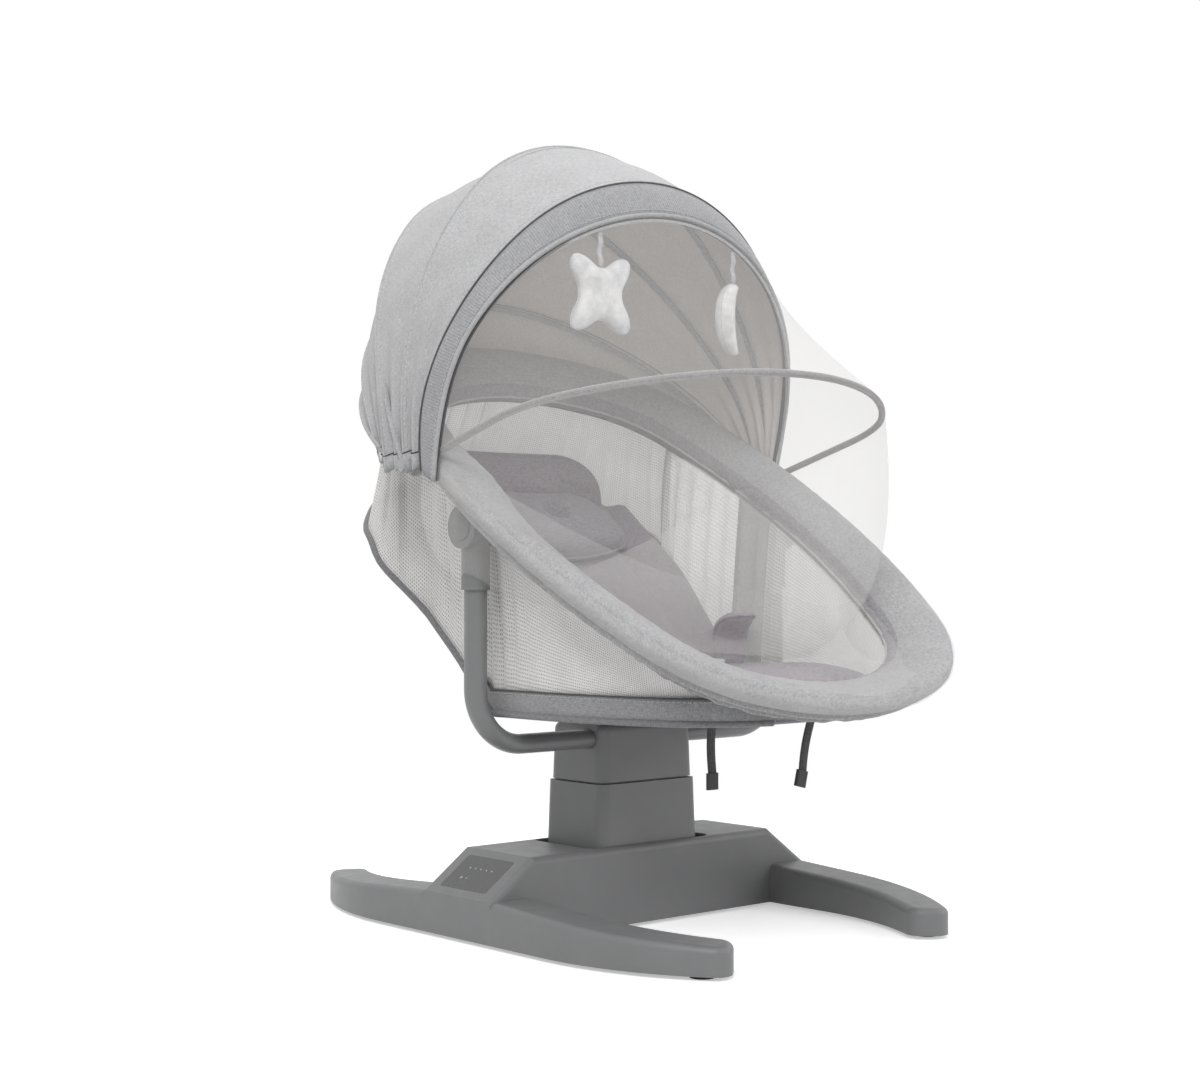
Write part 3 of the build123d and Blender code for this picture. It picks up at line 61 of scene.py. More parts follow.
# Points inside the tub and under the canopy, for telling a cloth's two sides apart
IN_TUB = np.array([0.0, RIM_Y, 0.40])
LOW_IN_TUB = np.array([0.0, RIM_Y, 0.30])
UNDER_CANOPY = np.array([0.0, FAN_Y, FAN_Z + 0.06])
MIRROR = np.array([-1, 1, 1])
UP = np.array([0, 0, 1.0])


# Materials
def feed(node, inputs):
    """Sets a node's inputs to values, or links them to other nodes' outputs."""
    for key, value in inputs.items():
        if isinstance(value, bpy.types.NodeSocket):
            node.id_data.links.new(value, node.inputs[key])
        else:
            node.inputs[key].default_value = value


def add(tree, kind, inputs=None, **props):
    made = tree.nodes.new("ShaderNode" + kind)
    for key, value in props.items():
        setattr(made, key, value)
    feed(made, inputs or {})
    return made


def new_material(name, colour, rough):
    mat = bpy.data.materials.new(name)
    mat.use_nodes = True
    shader = mat.node_tree.nodes["Principled BSDF"]
    feed(shader, {"Base Color": (*colour, 1), "Roughness": rough})
    return mat, shader


def coords(shader, source, scale=(1, 1, 1)):
    """Texture place in metres times scale, from the mesh's own layout or from the row frame."""
    spot = add(shader.id_data, "TexCoord").outputs[source]
    return add(shader.id_data, "Mapping", {"Vector": spot, "Scale": scale}).outputs["Vector"]


def noise(vector, scale, detail=2.0, rough=0.5):
    inputs = {"Vector": vector, "Scale": scale, "Detail": detail, "Roughness": rough}
    return add(vector.id_data, "TexNoise", inputs).outputs["Fac"]


def wave(vector, pitch, direction):
    """Bands at a pitch in metres."""
    inputs = {"Vector": vector, "Scale": 0.31416 / pitch}
    return add(vector.id_data, "TexWave", inputs, bands_direction=direction).outputs["Fac"]


def calc(a, kind, b):
    return add(a.id_data, "Math", {0: a, 1: b}, operation=kind).outputs[0]


def weave(vector, pitch):
    return calc(wave(vector, pitch, "X"), "MULTIPLY", wave(vector, pitch, "Y"))


def ramp(fac, *stops):
    """Colour between two stops."""
    made = add(fac.id_data, "ValToRGB", {"Fac": fac})
    for element, (place, colour) in zip(made.color_ramp.elements, stops):
        element.position = place
        element.color = (*colour, 1)
    return made.outputs["Color"]


def times(colour, fac, low, high):
    """Colour times a grey that runs from low to high with fac."""
    inputs = {"Factor": 1.0, "A": colour, "B": ramp(fac, (0.3, (low,) * 3), (0.7, (high,) * 3))}
    return add(fac.id_data, "Mix", inputs, data_type="RGBA", blend_type="MULTIPLY").outputs["Result"]


def bump(shader, height, strength, distance):
    inputs = {"Height": height, "Strength": strength, "Distance": distance}
    feed(shader, {"Normal": add(shader.id_data, "Bump", inputs).outputs["Normal"]})


def woven(name, dark, light, pitch=0.0016, source="UV", rib=None, mottle=0.05):
    """Melange cloth: mixed fibres along both threads, a weave in relief and soft mottling."""
    mat, shader = new_material(name, light, 0.9)
    flat = coords(shader, source)
    along, across, deep = 1 / 0.006, 1 / 0.0011, 1 / 0.003
    warp = noise(coords(shader, source, (along, across, deep)), 1.0, 3.0, 0.65)
    weft = noise(coords(shader, source, (across, along, deep)), 1.0, 3.0, 0.65)
    fibre = calc(calc(warp, "ADD", weft), "MULTIPLY", 0.5)
    colour = ramp(fibre, (0.36, dark), (0.62, light))
    colour = times(colour, noise(flat, 24.0, 3.0), 1 - mottle, 1 + mottle)
    threads = weave(flat, pitch)
    if rib:
        ribs = wave(flat, rib, "X")
        threads = calc(calc(threads, "MULTIPLY", 0.4), "ADD", ribs)
        colour = times(colour, ribs, 0.9, 1.03)
    bump(shader, calc(threads, "ADD", calc(fibre, "MULTIPLY", 0.8)), 0.5, 0.0006)
    feed(shader, {"Base Color": colour, "Sheen Weight": 0.25, "Sheen Roughness": 0.5, "Specular IOR Level": 0.2})
    return mat


def plastic(name, colour, rough=0.5, grain=0.08, spread=0.05, scale=1400.0, coat=0.0):
    """Moulded plastic: fine grain, slightly uneven gloss and tone."""
    mat, shader = new_material(name, colour, rough)
    flat = coords(shader, "Object")
    dark, light = ([c * share for c in colour] for share in (1 - spread, 1 + spread))
    shade = ramp(noise(flat, 14.0, 4.0, 0.6), (0.3, dark), (0.7, light))
    gloss = calc(calc(noise(flat, 60.0, 3.0), "MULTIPLY", 0.22), "ADD", rough - 0.11)
    bump(shader, noise(flat, scale, 2.0, 0.6), grain, 0.0003)
    feed(shader, {"Base Color": shade, "Roughness": gloss, "Coat Weight": coat})
    return mat


def knit_mesh(name, dark, light, pitch, hole, open_share):
    """Knitted mesh: rows of small round holes between soft threads; the holes are half see-through and also
    painted darker, painted shade for the tub's inside behind them.
    """
    mat, shader = new_material(name, light, 0.85)
    inputs = {"Vector": coords(shader, "UV", (1 / pitch, 1 / pitch, 1)), "Scale": 1.0, "Randomness": 0.12}
    distance = add(shader.id_data, "TexVoronoi", inputs, voronoi_dimensions="2D").outputs["Distance"]
    # holes darker than the threads: painted shade
    colour = ramp(distance, (hole, dark), (hole + 0.14, light))
    colour = times(colour, noise(coords(shader, "UV"), 30.0, 3.0), 0.94, 1.05)
    veil = ramp(distance, (hole - 0.06, (1 - open_share,) * 3), (hole + 0.05, (1, 1, 1)))
    bump(shader, distance, 0.6, 0.0008)
    feed(shader, {"Base Color": colour, "Alpha": veil})
    feed(shader, {"Sheen Weight": 0.5, "Transmission Weight": 0.20, "IOR": 1.01})
    return mat


def net_cloth(name, colour, alpha):
    """Fine insect net: see-through, with a hint of its threads."""
    mat, shader = new_material(name, colour, 0.8)
    threads = weave(coords(shader, "UV"), 0.003)
    shade = ramp(threads, (0.1, colour), (0.8, [c * 0.88 for c in colour]))
    bump(shader, threads, 0.3, 0.0004)
    feed(shader, {"Base Color": shade, "Alpha": alpha, "Specular IOR Level": 0.1})
    return mat


def plush(name, dark, light, shine):
    """Short plush or satin with a soft pile and broad sheen."""
    mat, shader = new_material(name, light, 0.55)
    flat = coords(shader, "Object")
    pile = noise(flat, 700.0, 3.0, 0.7)
    colour = ramp(noise(flat, 55.0, 4.0, 0.6), (0.3, dark), (0.65, light))
    bump(shader, pile, 0.35, 0.0008)
    feed(shader, {"Base Color": times(colour, pile, 0.93, 1.04), "Sheen Weight": shine})
    return mat


SHELL = plastic("shell_plastic", (0.185, 0.187, 0.190), 0.46, 0.05)
DARK = plastic("inner_plastic", (0.055, 0.055, 0.058), 0.55)
ARM = plastic("arm_paint", (0.185, 0.187, 0.190), 0.38, 0.04, 0.03, 900.0)
STEEL = plastic("steel", (0.50, 0.50, 0.52), 0.35, 0.03)
feed(STEEL.node_tree.nodes["Principled BSDF"], {"Metallic": 1.0})
GEAR = plastic("gear_plastic", (0.70, 0.68, 0.62), 0.5)
PANEL = plastic("panel_gloss", (0.050, 0.051, 0.054), 0.3, 0.02, 0.04, 1400.0, 0.3)
CIRCUIT = plastic("circuit", (0.02, 0.12, 0.05), 0.5)
BLACK = plastic("black_plastic", (0.02, 0.02, 0.021), 0.5)
RUBBER = plastic("pad_rubber", (0.025, 0.025, 0.025), 0.8, 0.15)
BUTTON = plastic("button_plastic", (0.165, 0.167, 0.170), 0.45)
BUCKLE = plastic("buckle_plastic", (0.62, 0.64, 0.66), 0.3, 0.02)
MARK = plastic("panel_marks", (0.55, 0.56, 0.57), 0.5, 0.0)
CANOPY = woven("canopy_cloth", (0.34, 0.34, 0.345), (0.56, 0.56, 0.57))
CANOPY_ROUND = woven("hoop_sleeve_cloth", (0.34, 0.34, 0.345), (0.56, 0.56, 0.57), source="Object")
EDGE = woven("edge_binding_cloth", (0.33, 0.33, 0.335), (0.50, 0.50, 0.51), 0.0012)
BAND = woven("canopy_band_cloth", (0.25, 0.25, 0.26), (0.44, 0.44, 0.46), 0.0018, rib=0.0034)
# Canopy's inner face: a warmer cloth, painted far lighter than the outer cloth, painted light that makes up for
# the shade under the canopy
LINING_PAINTED_LIGHT = woven("canopy_lining_cloth", (0.68, 0.652, 0.626), (0.86, 0.828, 0.797), mottle=0.03)
PIPING = woven("piping_cloth", (0.50, 0.50, 0.50), (0.68, 0.68, 0.68), 0.0012)
# Near-black seam lines: painted shade in the creases along seams, not a thread colour
SEAM_SHADE = woven("seam_thread", (0.06, 0.06, 0.065), (0.12, 0.12, 0.125), 0.001)
RIM = woven("rim_cloth", (0.30, 0.30, 0.305), (0.52, 0.52, 0.53), source="Object")
# Darker copy of the rim cloth for the pad's inner side: painted shade where it faces into the tub
RIM_IN_SHADED = woven("rim_inner_cloth", (0.25, 0.245, 0.26), (0.42, 0.41, 0.43), source="Object")
PAD = woven("pad_cloth", (0.219, 0.194, 0.226), (0.400, 0.358, 0.412), 0.0014, source="Object")
PILLOW = woven("pillow_cloth", (0.220, 0.204, 0.230), (0.376, 0.352, 0.392), 0.0014, source="Object")
BINDING = woven("binding_cloth", (0.15, 0.15, 0.155), (0.30, 0.30, 0.31), 0.0014)
BASE_CLOTH = woven("tub_base_cloth", (0.20, 0.20, 0.205), (0.40, 0.40, 0.41))
FLOOR_IN = woven("tub_inner_cloth", (0.235, 0.216, 0.240), (0.430, 0.400, 0.440), 0.0014)
TAPE = woven("wall_tape_cloth", (0.36, 0.355, 0.35), (0.56, 0.55, 0.54))
WEBBING = woven("webbing", (0.05, 0.05, 0.053), (0.11, 0.11, 0.115), 0.0016, rib=0.0022)
RIBBON = woven("ribbon_cloth", (0.42, 0.41, 0.42), (0.60, 0.58, 0.60), 0.001)
MESH = knit_mesh("wall_mesh", (0.56, 0.555, 0.55), (0.97, 0.96, 0.945), 0.0028, 0.18, 0.5)
NET = net_cloth("insect_net", (0.87, 0.85, 0.835), 0.20)
BOW = woven("bow_sleeve_cloth", (0.27, 0.26, 0.265), (0.45, 0.43, 0.44), 0.0012)
STAR = plush("star_plush", (0.55, 0.55, 0.56), (0.86, 0.86, 0.86), 0.5)
MOON = plush("moon_plush", (0.58, 0.58, 0.58), (0.84, 0.84, 0.84), 0.5)


# Numbers and lines of points
def step(x):
    """Smooth step from 0 to 1."""
    x = min(1.0, max(0.0, x))
    return x * x * (3 - 2 * x)


def power(x, exponent):
    """A number's size to a power, with its sign."""
    return copysign(abs(x) ** exponent, x)


def hump(count):
    """0 at both ends and 1 in the middle, along a half wave."""
    return np.sin(np.linspace(0, pi, count))


def shares(count):
    """0 to 1, closer together towards both ends."""
    return (1 - np.cos(np.linspace(0, pi, count))) / 2


def unit(vectors):
    return vectors / np.linalg.norm(vectors, axis=-1, keepdims=True)


def run_of(points):
    """Distance along a line of points."""
    return np.concatenate([[0], np.cumsum(np.linalg.norm(np.diff(points, axis=0), axis=1))])


def layout(across, along):
    """Texture places for a grid of points."""
    return np.stack(np.meshgrid(across, along), axis=2).reshape(-1, 2)


def flat_layout(grid):
    """Texture places along a grid of points, in metres."""
    gaps = (np.linalg.norm(np.diff(grid, axis=k), axis=2).mean(axis=1 - k) for k in (1, 0))
    return layout(*(np.concatenate([[0], np.cumsum(g)]) for g in gaps))


def even(points, count, closed=False):
    """The same line with evenly spaced points."""
    p = np.asarray(points, float)
    if closed:
        p = np.concatenate([p, p[:1]])
    run = run_of(p)
    at = np.linspace(0, run[-1], count, endpoint=not closed)
    return np.stack([np.interp(at, run, p[:, k]) for k in range(3)], axis=1)


def between(first, last, rows):
    """Grid of points from one line to another."""
    v = np.linspace(0, 1, rows)[:, None, None]
    return first[None] * (1 - v) + last[None] * v


def normals_of(grid):
    n = np.cross(np.gradient(grid, axis=1), np.gradient(grid, axis=0))
    return n / np.maximum(np.linalg.norm(n, axis=2, keepdims=True), 1e-9)


# Mesh makers: a part is its points, faces, each face's material, and texture places or nothing
def mesh_object(name, *parts):
    """One object of mesh parts."""
    spots, faces, face_mats, uvs = [], [], [], []
    for part_spots, part_faces, part_mats, part_uvs in parts:
        faces += [[len(spots) + k for k in f] for f in part_faces]
        spots += [tuple(s) for s in part_spots]
        face_mats += part_mats
        uvs += list(part_uvs)
    data = bpy.data.meshes.new(name)
    data.from_pydata(spots, [], faces)
    if uvs:
        layer = data.uv_layers.new(name="UVMap")
        loops = np.zeros(len(data.loops), np.int32)
        data.loops.foreach_get("vertex_index", loops)
        layer.data.foreach_set("uv", np.array(uvs, np.float32)[loops].ravel())
    mats = list(dict.fromkeys(face_mats))
    for m in mats:
        data.materials.append(m)
    data.polygons.foreach_set("material_index", np.array([mats.index(m) for m in face_mats], np.int32))
    data.polygons.foreach_set("use_smooth", np.ones(len(faces), bool))
    data.update()
    made = bpy.data.objects.new(name, data)
    bpy.context.scene.collection.objects.link(made)
    return made


def grid_faces(rows, cols, wrap_rows=False, wrap_cols=False, first=0, flip=False):
    out = []
    for i in range(rows if wrap_rows else rows - 1):
        a, b = first + i * cols, first + (i + 1) % rows * cols
        for j in range(cols if wrap_cols else cols - 1):
            c, d = j, (j + 1) % cols
            quad = [a + c, a + d, b + d, b + c]
            out.append(quad[::-1] if flip else quad)
    return out


def rod_faces(rows, sides, first=0):
    """Faces through rings of points, with both ends closed."""
    ends = [list(range(k, k + sides)) for k in (first, first + (rows - 1) * sides)]
    return grid_faces(rows, sides, False, True, first) + [ends[0][::-1], ends[1]]


def shell(grid, thick, mat_out, mat_in, inward):
    """A sheet of cloth with two faces: grid is its outer face, and inward points from outside to inside."""
    rows, cols = grid.shape[:2]
    n = normals_of(grid)
    flip = bool(np.sum(n * inward) > 0)
    count = rows * cols
    faces = grid_faces(rows, cols, flip=flip) + grid_faces(rows, cols, first=count, flip=not flip)
    half = len(faces) // 2
    ids = np.arange(count).reshape(rows, cols)
    edge = np.concatenate([ids[0], ids[1:, -1], ids[-1, -2::-1], ids[-2:0:-1, 0]]).tolist()
    for a, b in zip(edge, edge[1:] + edge[:1]):
        faces.append([a, b, count + b, count + a][::1 if flip else -1])
    mats = [mat_out] * half + [mat_in] * half + [mat_out] * len(edge)
    spots = np.concatenate([grid, grid + n * (thick if flip else -thick)]).reshape(-1, 3)
    return spots, faces, mats, np.tile(flat_layout(grid), (2, 1))


def thin_sheet(name, grid, mat, flip=False):
    """A sheet of net or mesh with one face, and its area."""
    faces = grid_faces(*grid.shape[:2], flip=flip)
    made = mesh_object(name, (grid.reshape(-1, 3), faces, [mat] * len(faces), flat_layout(grid)))
    return made, sum(f.area for f in made.data.polygons)


def tube(path, radius, mat, sides=8, closed=False, flat=1.0, up=(0.31, 0.17, 0.93)):
    """A round or flattened tube along points."""
    p = np.asarray(path, float)
    ahead = np.roll(p, -1, 0) - np.roll(p, 1, 0)
    if not closed:
        ahead[0], ahead[-1] = p[1] - p[0], p[-1] - p[-2]
    ahead = unit(ahead)
    side = unit(np.cross(ahead, np.array(up)))
    lift = np.cross(side, ahead)
    a = np.linspace(0, tau, sides, endpoint=False)
    ring = np.cos(a)[None, :, None] * side[:, None] + flat * np.sin(a)[None, :, None] * lift[:, None]
    grid = p[:, None] + ring * radius
    faces = grid_faces(len(p), sides, True, True) if closed else rod_faces(len(p), sides)
    return grid.reshape(-1, 3), faces, [mat] * len(faces), layout(a * radius, run_of(p))


def stitches(path, gap=0.002, length=0.0036, width=0.0004, mat=PIPING):
    """A line of small raised stitches."""
    p = np.asarray(path, float)
    run = run_of(p)
    verts, faces = [], []
    s = gap
    while s + length < run[-1]:
        ends = [np.array([np.interp(t, run, p[:, k]) for k in range(3)]) for t in (s, s + length)]
        d = ends[1] - ends[0]
        d /= max(np.linalg.norm(d), 1e-9)
        side = unit(np.cross(d, (0.3, 0.2, 0.93)))
        up = np.cross(side, d)
        faces += rod_faces(2, 4, len(verts))
        for e in ends:
            for x, y in ((1, 0), (0, 1), (-1, 0), (0, -1)):
                verts.append(e + side * x * width + up * y * width)
        s += length + gap
    return verts, faces, [mat] * len(faces), np.zeros((len(verts), 2))


def area_of(obj, sheet):
    """Area of one face of a two-faced sheet, the object's first part."""
    return sum(f.area for f in obj.data.polygons[:len(sheet[1])]) / 2


def place(piece, slot, body=None, *stands_for):
    """Puts a piece on what carries it and hides the CAD nodes it stands for; slot is not used."""
    if stands_for:
        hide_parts(*stands_for)
    if body:
        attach(piece, body)


# Shapes shared with the CAD
def arch(half, height, leg, start, count):
    """Points along a hoop's line, legs, corner arcs and crown, as (across, up) in its plane."""
    b = radians(45)
    c, s = cos(b), sin(b)
    corner, crown = np.linalg.solve([[1 - c, c], [s, 1 - s]], [half, height - leg])
    spots = [(half, start + (leg - start) * k / 12) for k in range(12)]
    for k in range(24):
        a = b * k / 24
        spots.append((half - corner + corner * cos(a), leg + corner * sin(a)))
    for k in range(49):
        a = b + (pi - 2 * b) * k / 48
        spots.append((crown * cos(a), height - crown + crown * sin(a)))
    spots += [(-x, h) for x, h in spots[:36][::-1]]
    return even([(x, h, 0) for x, h in spots], count)[:, :2]


def fan(angle, spots):
    """Points of a hoop's plane in the row frame."""
    a = radians(angle)
    x, h = spots[:, 0], spots[:, 1]
    return np.stack([x, FAN_Y - h * cos(a), FAN_Z + h * sin(a)], axis=1)


# The rim's line: flat arcs at the sides and ends, with corner arcs between them
A1, A2 = radians(20), radians(65)
RIM_SIDE, RIM_END = np.linalg.solve(
    [[sin(A1), 1 - sin(A2)], [1 - cos(A1), cos(A2)]],
    [RIM_L - RIM_CORNER * (sin(A2) - sin(A1)), RIM_W - RIM_CORNER * (cos(A1) - cos(A2))],
)
CORNER_X = RIM_W - RIM_SIDE + (RIM_SIDE - RIM_CORNER) * cos(A1)
CORNER_U = (RIM_SIDE - RIM_CORNER) * sin(A1)


def rim_spot(turn, out=0.0, lift=0.0):
    """Point by the rim: turn 0 at the left side, 90 at the foot, 180 at the right side, 270 at the head."""
    turn = (turn + 180) % 360 - 180
    right = abs(turn) > 90
    if right:
        turn = copysign(180 - abs(turn), turn)
    t = radians(abs(turn))
    if t <= A1:
        x, u = RIM_W - RIM_SIDE * (1 - cos(t)), RIM_SIDE * sin(t)
    elif t <= A2:
        x, u = CORNER_X + RIM_CORNER * cos(t), CORNER_U + RIM_CORNER * sin(t)
    else:
        x, u = RIM_END * cos(t), RIM_L - RIM_END + RIM_END * sin(t)
    x, u = x + out * cos(t), u + out * sin(t)
    if turn > 0:
        u = -u
    y = RIM_Y + u * COS_TILT - lift * SIN_TILT
    return np.array([x if right else -x, y, RIM_Z + u * SIN_TILT + lift * COS_TILT])


def rim_turns(count):
    """Turns that are evenly spaced along the rim's line."""
    turns = np.linspace(0, 360, 2881)
    run = run_of(np.array([rim_spot(t) for t in turns]))
    return np.interp(np.linspace(0, run[-1], count, endpoint=False), run, turns)


def to_head(turn, start, width):
    """0 beside the seat and 1 round the head, between two turns."""
    return step((-turn - start) / width)


def slope(y):
    """Height of the back's slope over the seat's level."""
    return max(0.0, y - BEND_Y) * tan(BACK)


WALL_OUT = 14, 16


def wall_top(turn):
    """Top edge of the tub's wall on the left, turn 90 at the foot and -90 at the head."""
    share = to_head(turn, *WALL_OUT)
    drop = 0.0188 + 0.006 * min(1.0, share / 0.2)
    if share > 0.6:
        drop += (0.006 - drop) * (share - 0.6) / 0.4
    return rim_spot(turn, -0.0325 + 0.0625 * share, -drop)


def wall_foot(turn):
    top = wall_top(turn)
    lean = 0.915 + 0.085 * to_head(turn, *WALL_OUT)
    y = top[1] + 0.045 * (max(0.0, -turn) / 90) ** 1.5
    return np.array([top[0] * lean, y, BOARD_TOP + 0.0008 + slope(y)])


def hull_foot(turn):
    """The sewn lower edge of the tub, drawn up and out round the head."""
    t = radians(turn)
    out = 0.020 * to_head(turn, 20, 22)
    rise = 0.052 * to_head(turn, 14, 22) - 0.011 * exp(-(((turn + 17) / 7) ** 2))
    return wall_foot(turn) + [-cos(t) * out, -sin(t) * out, rise]


FEET = np.array([wall_foot(t) for t in np.linspace(-90, 90, 361)])[::-1]


def board_half(y):
    """Half width of the tub's floor at a distance behind the origin."""
    return 0.003 - np.interp(y, FEET[:, 1], FEET[:, 0])


# CAD nodes that stay: better materials
for mat, names in (
    (SHELL, "base_upper_shell leg_front_left leg_front_right leg_rear_left leg_rear_right"),
    (SHELL, "column_lower_cover column_upper_cover arm_sleeve_left arm_sleeve_right"),
    (SHELL, "rim_bracket_left rim_bracket_right"),
    (ARM, "arm_tube_left arm_tube_right"),
    (DARK, "base_bottom_cover swing_yoke arm_socket"),
    (RIM, "canopy_ears"),
    (STEEL, "swing_shaft base_screws rim_tubes drive_motor"),
    (GEAR, "sector_gear drive_pinion"),
    (PANEL, "control_panel"),
    (CIRCUIT, "control_board"),
    (BLACK, "speaker power_inlet strap_clips"),
    (RUBBER, "foot_pads"),
    (BUTTON, "recline_button_left recline_button_right"),
    (BUCKLE, "harness_buckle"),
    (CANOPY_ROUND, "canopy_hoop_fixed canopy_hoop_front canopy_hoop_middle canopy_hoop_rear"),
):
    for name in names.split():
        nodes[name].data.materials.clear()
        nodes[name].data.materials.append(mat)

# Touch marks on the panel's largest upper face: plain dots, as (across, along, radius)
DOTS = [(k * 0.0095, 0.007, 0.0011) for k in range(-2, 3)]
DOTS += [(-0.019, -0.009, 0.0016), (-0.0095, -0.009, 0.0011)]
DOT_SIDES, DOT_RISE = 14, 0.0003
face = {}
for f in nodes["control_panel"].data.polygons:
    if f.normal.z > 0.2:
        entry = face.setdefault(tuple(round(c, 2) for c in f.normal), [0.0, Vector((0, 0, 0))])
        entry[0] += f.area
        entry[1] += f.center * f.area
facing = max(face, key=lambda k: face[k][0])
panel_up = Vector(facing).normalized()
panel_mid = face[facing][1] / face[facing][0]
panel_u = Vector((0, 0, 1)).cross(panel_up).normalized()
panel_v = panel_up.cross(panel_u)
verts, faces = [], []
for across, along, size in DOTS:
    faces += rod_faces(2, DOT_SIDES, len(verts))
    for lift in (0.0, DOT_RISE):
        for k in range(DOT_SIDES):
            a = tau * k / DOT_SIDES
            u, v = across + size * cos(a), along + size * sin(a)
            verts.append(panel_mid + panel_u * u + panel_v * v + panel_up * lift)
place(mesh_object("panel_marks", (verts, faces, [MARK] * len(faces), ())), "panel_gloss", "base")


# Canopy: how far the cloth's ends hang forward and down, by the hoops' angles
BAND_FRONT, BAND_BACK, SKIRT_END = 67.0, 73.6, 145.0
END_ANGLES = (BAND_FRONT, BAND_BACK, 95.0, 117.0, 136.0, SKIRT_END)
END_FORWARD = (0.040, 0.021, 0.007, -0.015, -0.016, -0.017)
END_REACH = (0.30, 0.08, 0.10, 0.14, 0.20, 0.20)
END_DROP = (0.043, 0.031, 0.031, 0.030, 0.012, -0.006)
DROP_REACH, FAR_SHARE = 0.13, -0.3


def hang(angle, spots, points):
    """Lets the cloth's ends hang past the pivots: forward at the front, down over the hub."""
    forward, reach, drop = (np.interp(angle, END_ANGLES, row) for row in (END_FORWARD, END_REACH, END_DROP))
    rise = np.maximum(0.0, spots[:, 1] - CLOTH_START)
    share = np.where(points[:, 0] > 0, FAR_SHARE if forward > 0 else 1.0, 1.0)
    points[:, 1] -= share * forward * np.clip(1 - rise / reach, 0, 1) ** 2
    points[:, 2] -= drop * np.clip(1 - rise / DROP_REACH, 0, 1) ** 2
    return points


def gore_grid(first, last, raise_mid, rows, cols, folds=0, fold_depth=0.0):
    """Cloth between two hoops: bulging between them, drawn into folds towards the pivots."""
    out = []
    for u in np.arange(rows) / (rows - 1):
        angle, half, height = [a + (b - a) * u for a, b in zip(first, last)]
        middle = 4 * u * (1 - u)
        height += middle * raise_mid
        spots = arch(half + CLOTH_FAR, height + CLOTH_FAR, 0.03, CLOTH_START, cols)
        if folds:
            end = np.minimum(np.arange(cols), np.arange(cols)[::-1]) / cols
            near = np.exp(-((end / 0.10) ** 2)) + 0.15
            depth = fold_depth * near * (0.5 - 0.5 * cos(tau * folds * u)) * middle ** 0.3
            spots = spots + unit(np.array([0.0, height * 0.35]) - spots) * depth[:, None]
        out.append(hang(angle, spots, fan(angle, spots)))
    return np.array(out)


def cloth_shell(grid, mat=CANOPY, thick=0.0018):
    return shell(grid, thick, mat, LINING_PAINTED_LIGHT, UNDER_CANOPY - grid)


def hem(grid):
    """Turned-up hem along both lower ends of a canopy panel, with its seam drawn as a near-black line of painted
    shade.
    """
    made = []
    for ends in (grid[:, :3], grid[:, :-4:-1]):
        out = unit(ends * [1, 0, 0])
        strip = ends + out * 0.0011
        made.append(shell(strip, 0.0030, CANOPY, LINING_PAINTED_LIGHT, -out))
        made.append(tube(strip[:, -1] + out[:, -1] * 0.0002, 0.0007, SEAM_SHADE, 6))
    return made


# Front band, with piping along both edges; the near-black lines under the front piping and along the rear edge
# are painted seam shade
BAND_ROWS = 9
band_grid = gore_grid(
    (BAND_FRONT, FRONT_HALF, FRONT_HEIGHT), (BAND_BACK, FRONT_HALF, 0.341), 0.0, BAND_ROWS, 181
)
band_n = unit(band_grid - UNDER_CANOPY)
band_grid = band_grid + band_n * (hump(BAND_ROWS) ** 0.6 * 0.0022)[:, None, None]
band_cloth = mesh_object(
    "front_band_cloth",
    cloth_shell(band_grid, BAND, 0.003),
    tube(band_grid[0] + band_n[0] * 0.0002, 0.0028, EDGE, 10),
    tube(band_grid[0] - band_n[0] * 0.0052, 0.0026, SEAM_SHADE),
    tube(band_grid[-1] + band_n[-1] * 0.0006, 0.0013, SEAM_SHADE),
    stitches(band_grid[1] + band_n[1] * 0.0007, 0.0016, 0.0034),
)
place(band_cloth, "canopy_fabric", "hoop_front", "canopy_front_band")

GORE_STITCH, GORE_COLS = 0.0022, 161
FIXED_HOOP = (135.75, REAR_HALF, 0.323)


def gore(part, first, last, hoops, depth):
    """Cloth panel between two hoops, with hems, edge lines and stitches."""
    grid = gore_grid(first, last, -0.004, 25, GORE_COLS, 2, depth)
    wide = float(run_of(grid[:, GORE_COLS // 2])[-1])
    long = float(max(run_of(row)[-1] for row in grid))
    n = unit(grid - UNDER_CANOPY)
    sheet = cloth_shell(grid)
    cloth = mesh_object(
        f"gore_{part}_cloth", sheet, *hem(grid),
        *(tube(grid[row] - n[row] * 0.0006, 0.0017, CANOPY) for row in (0, -1)),
        *(stitches(grid[row] + n[row] * 0.0001, GORE_STITCH) for row in (2, -3)),
    )
    area = area_of(cloth, sheet)
    place(cloth, "canopy_fabric", None, "canopy_gore_" + part)
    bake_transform(cloth)
    wide *= max(1.0, area / (wide * long) * 1.1)
    hoops = ["canopy_hoop_" + hoop for hoop in hoops]


gore("front", (96.2, MIDDLE_HALF, 0.394), (BAND_BACK, FRONT_HALF, 0.340),
     ("middle", "front"), 0.010)
gore("middle", (118.2, REAR_HALF, 0.407), (95.9, MIDDLE_HALF - 0.003, 0.384),
     ("rear", "middle"), 0.009)
gore("rear", FIXED_HOOP, (117.9, REAR_HALF - 0.003, 0.399),
     ("fixed", "rear"), 0.008)

skirt_grid = gore_grid(FIXED_HOOP, (SKIRT_END, REAR_HALF, 0.276), 0.0, 13, GORE_COLS, 1, 0.003)
skirt_sheet = cloth_shell(skirt_grid)
skirt = mesh_object(
    "rear_skirt_cloth", skirt_sheet, tube(skirt_grid[-1], 0.0026, CANOPY),
    stitches(skirt_grid[-3], GORE_STITCH), *hem(skirt_grid),
)
place(skirt, "canopy_fabric", "seat", "canopy_rear_skirt")

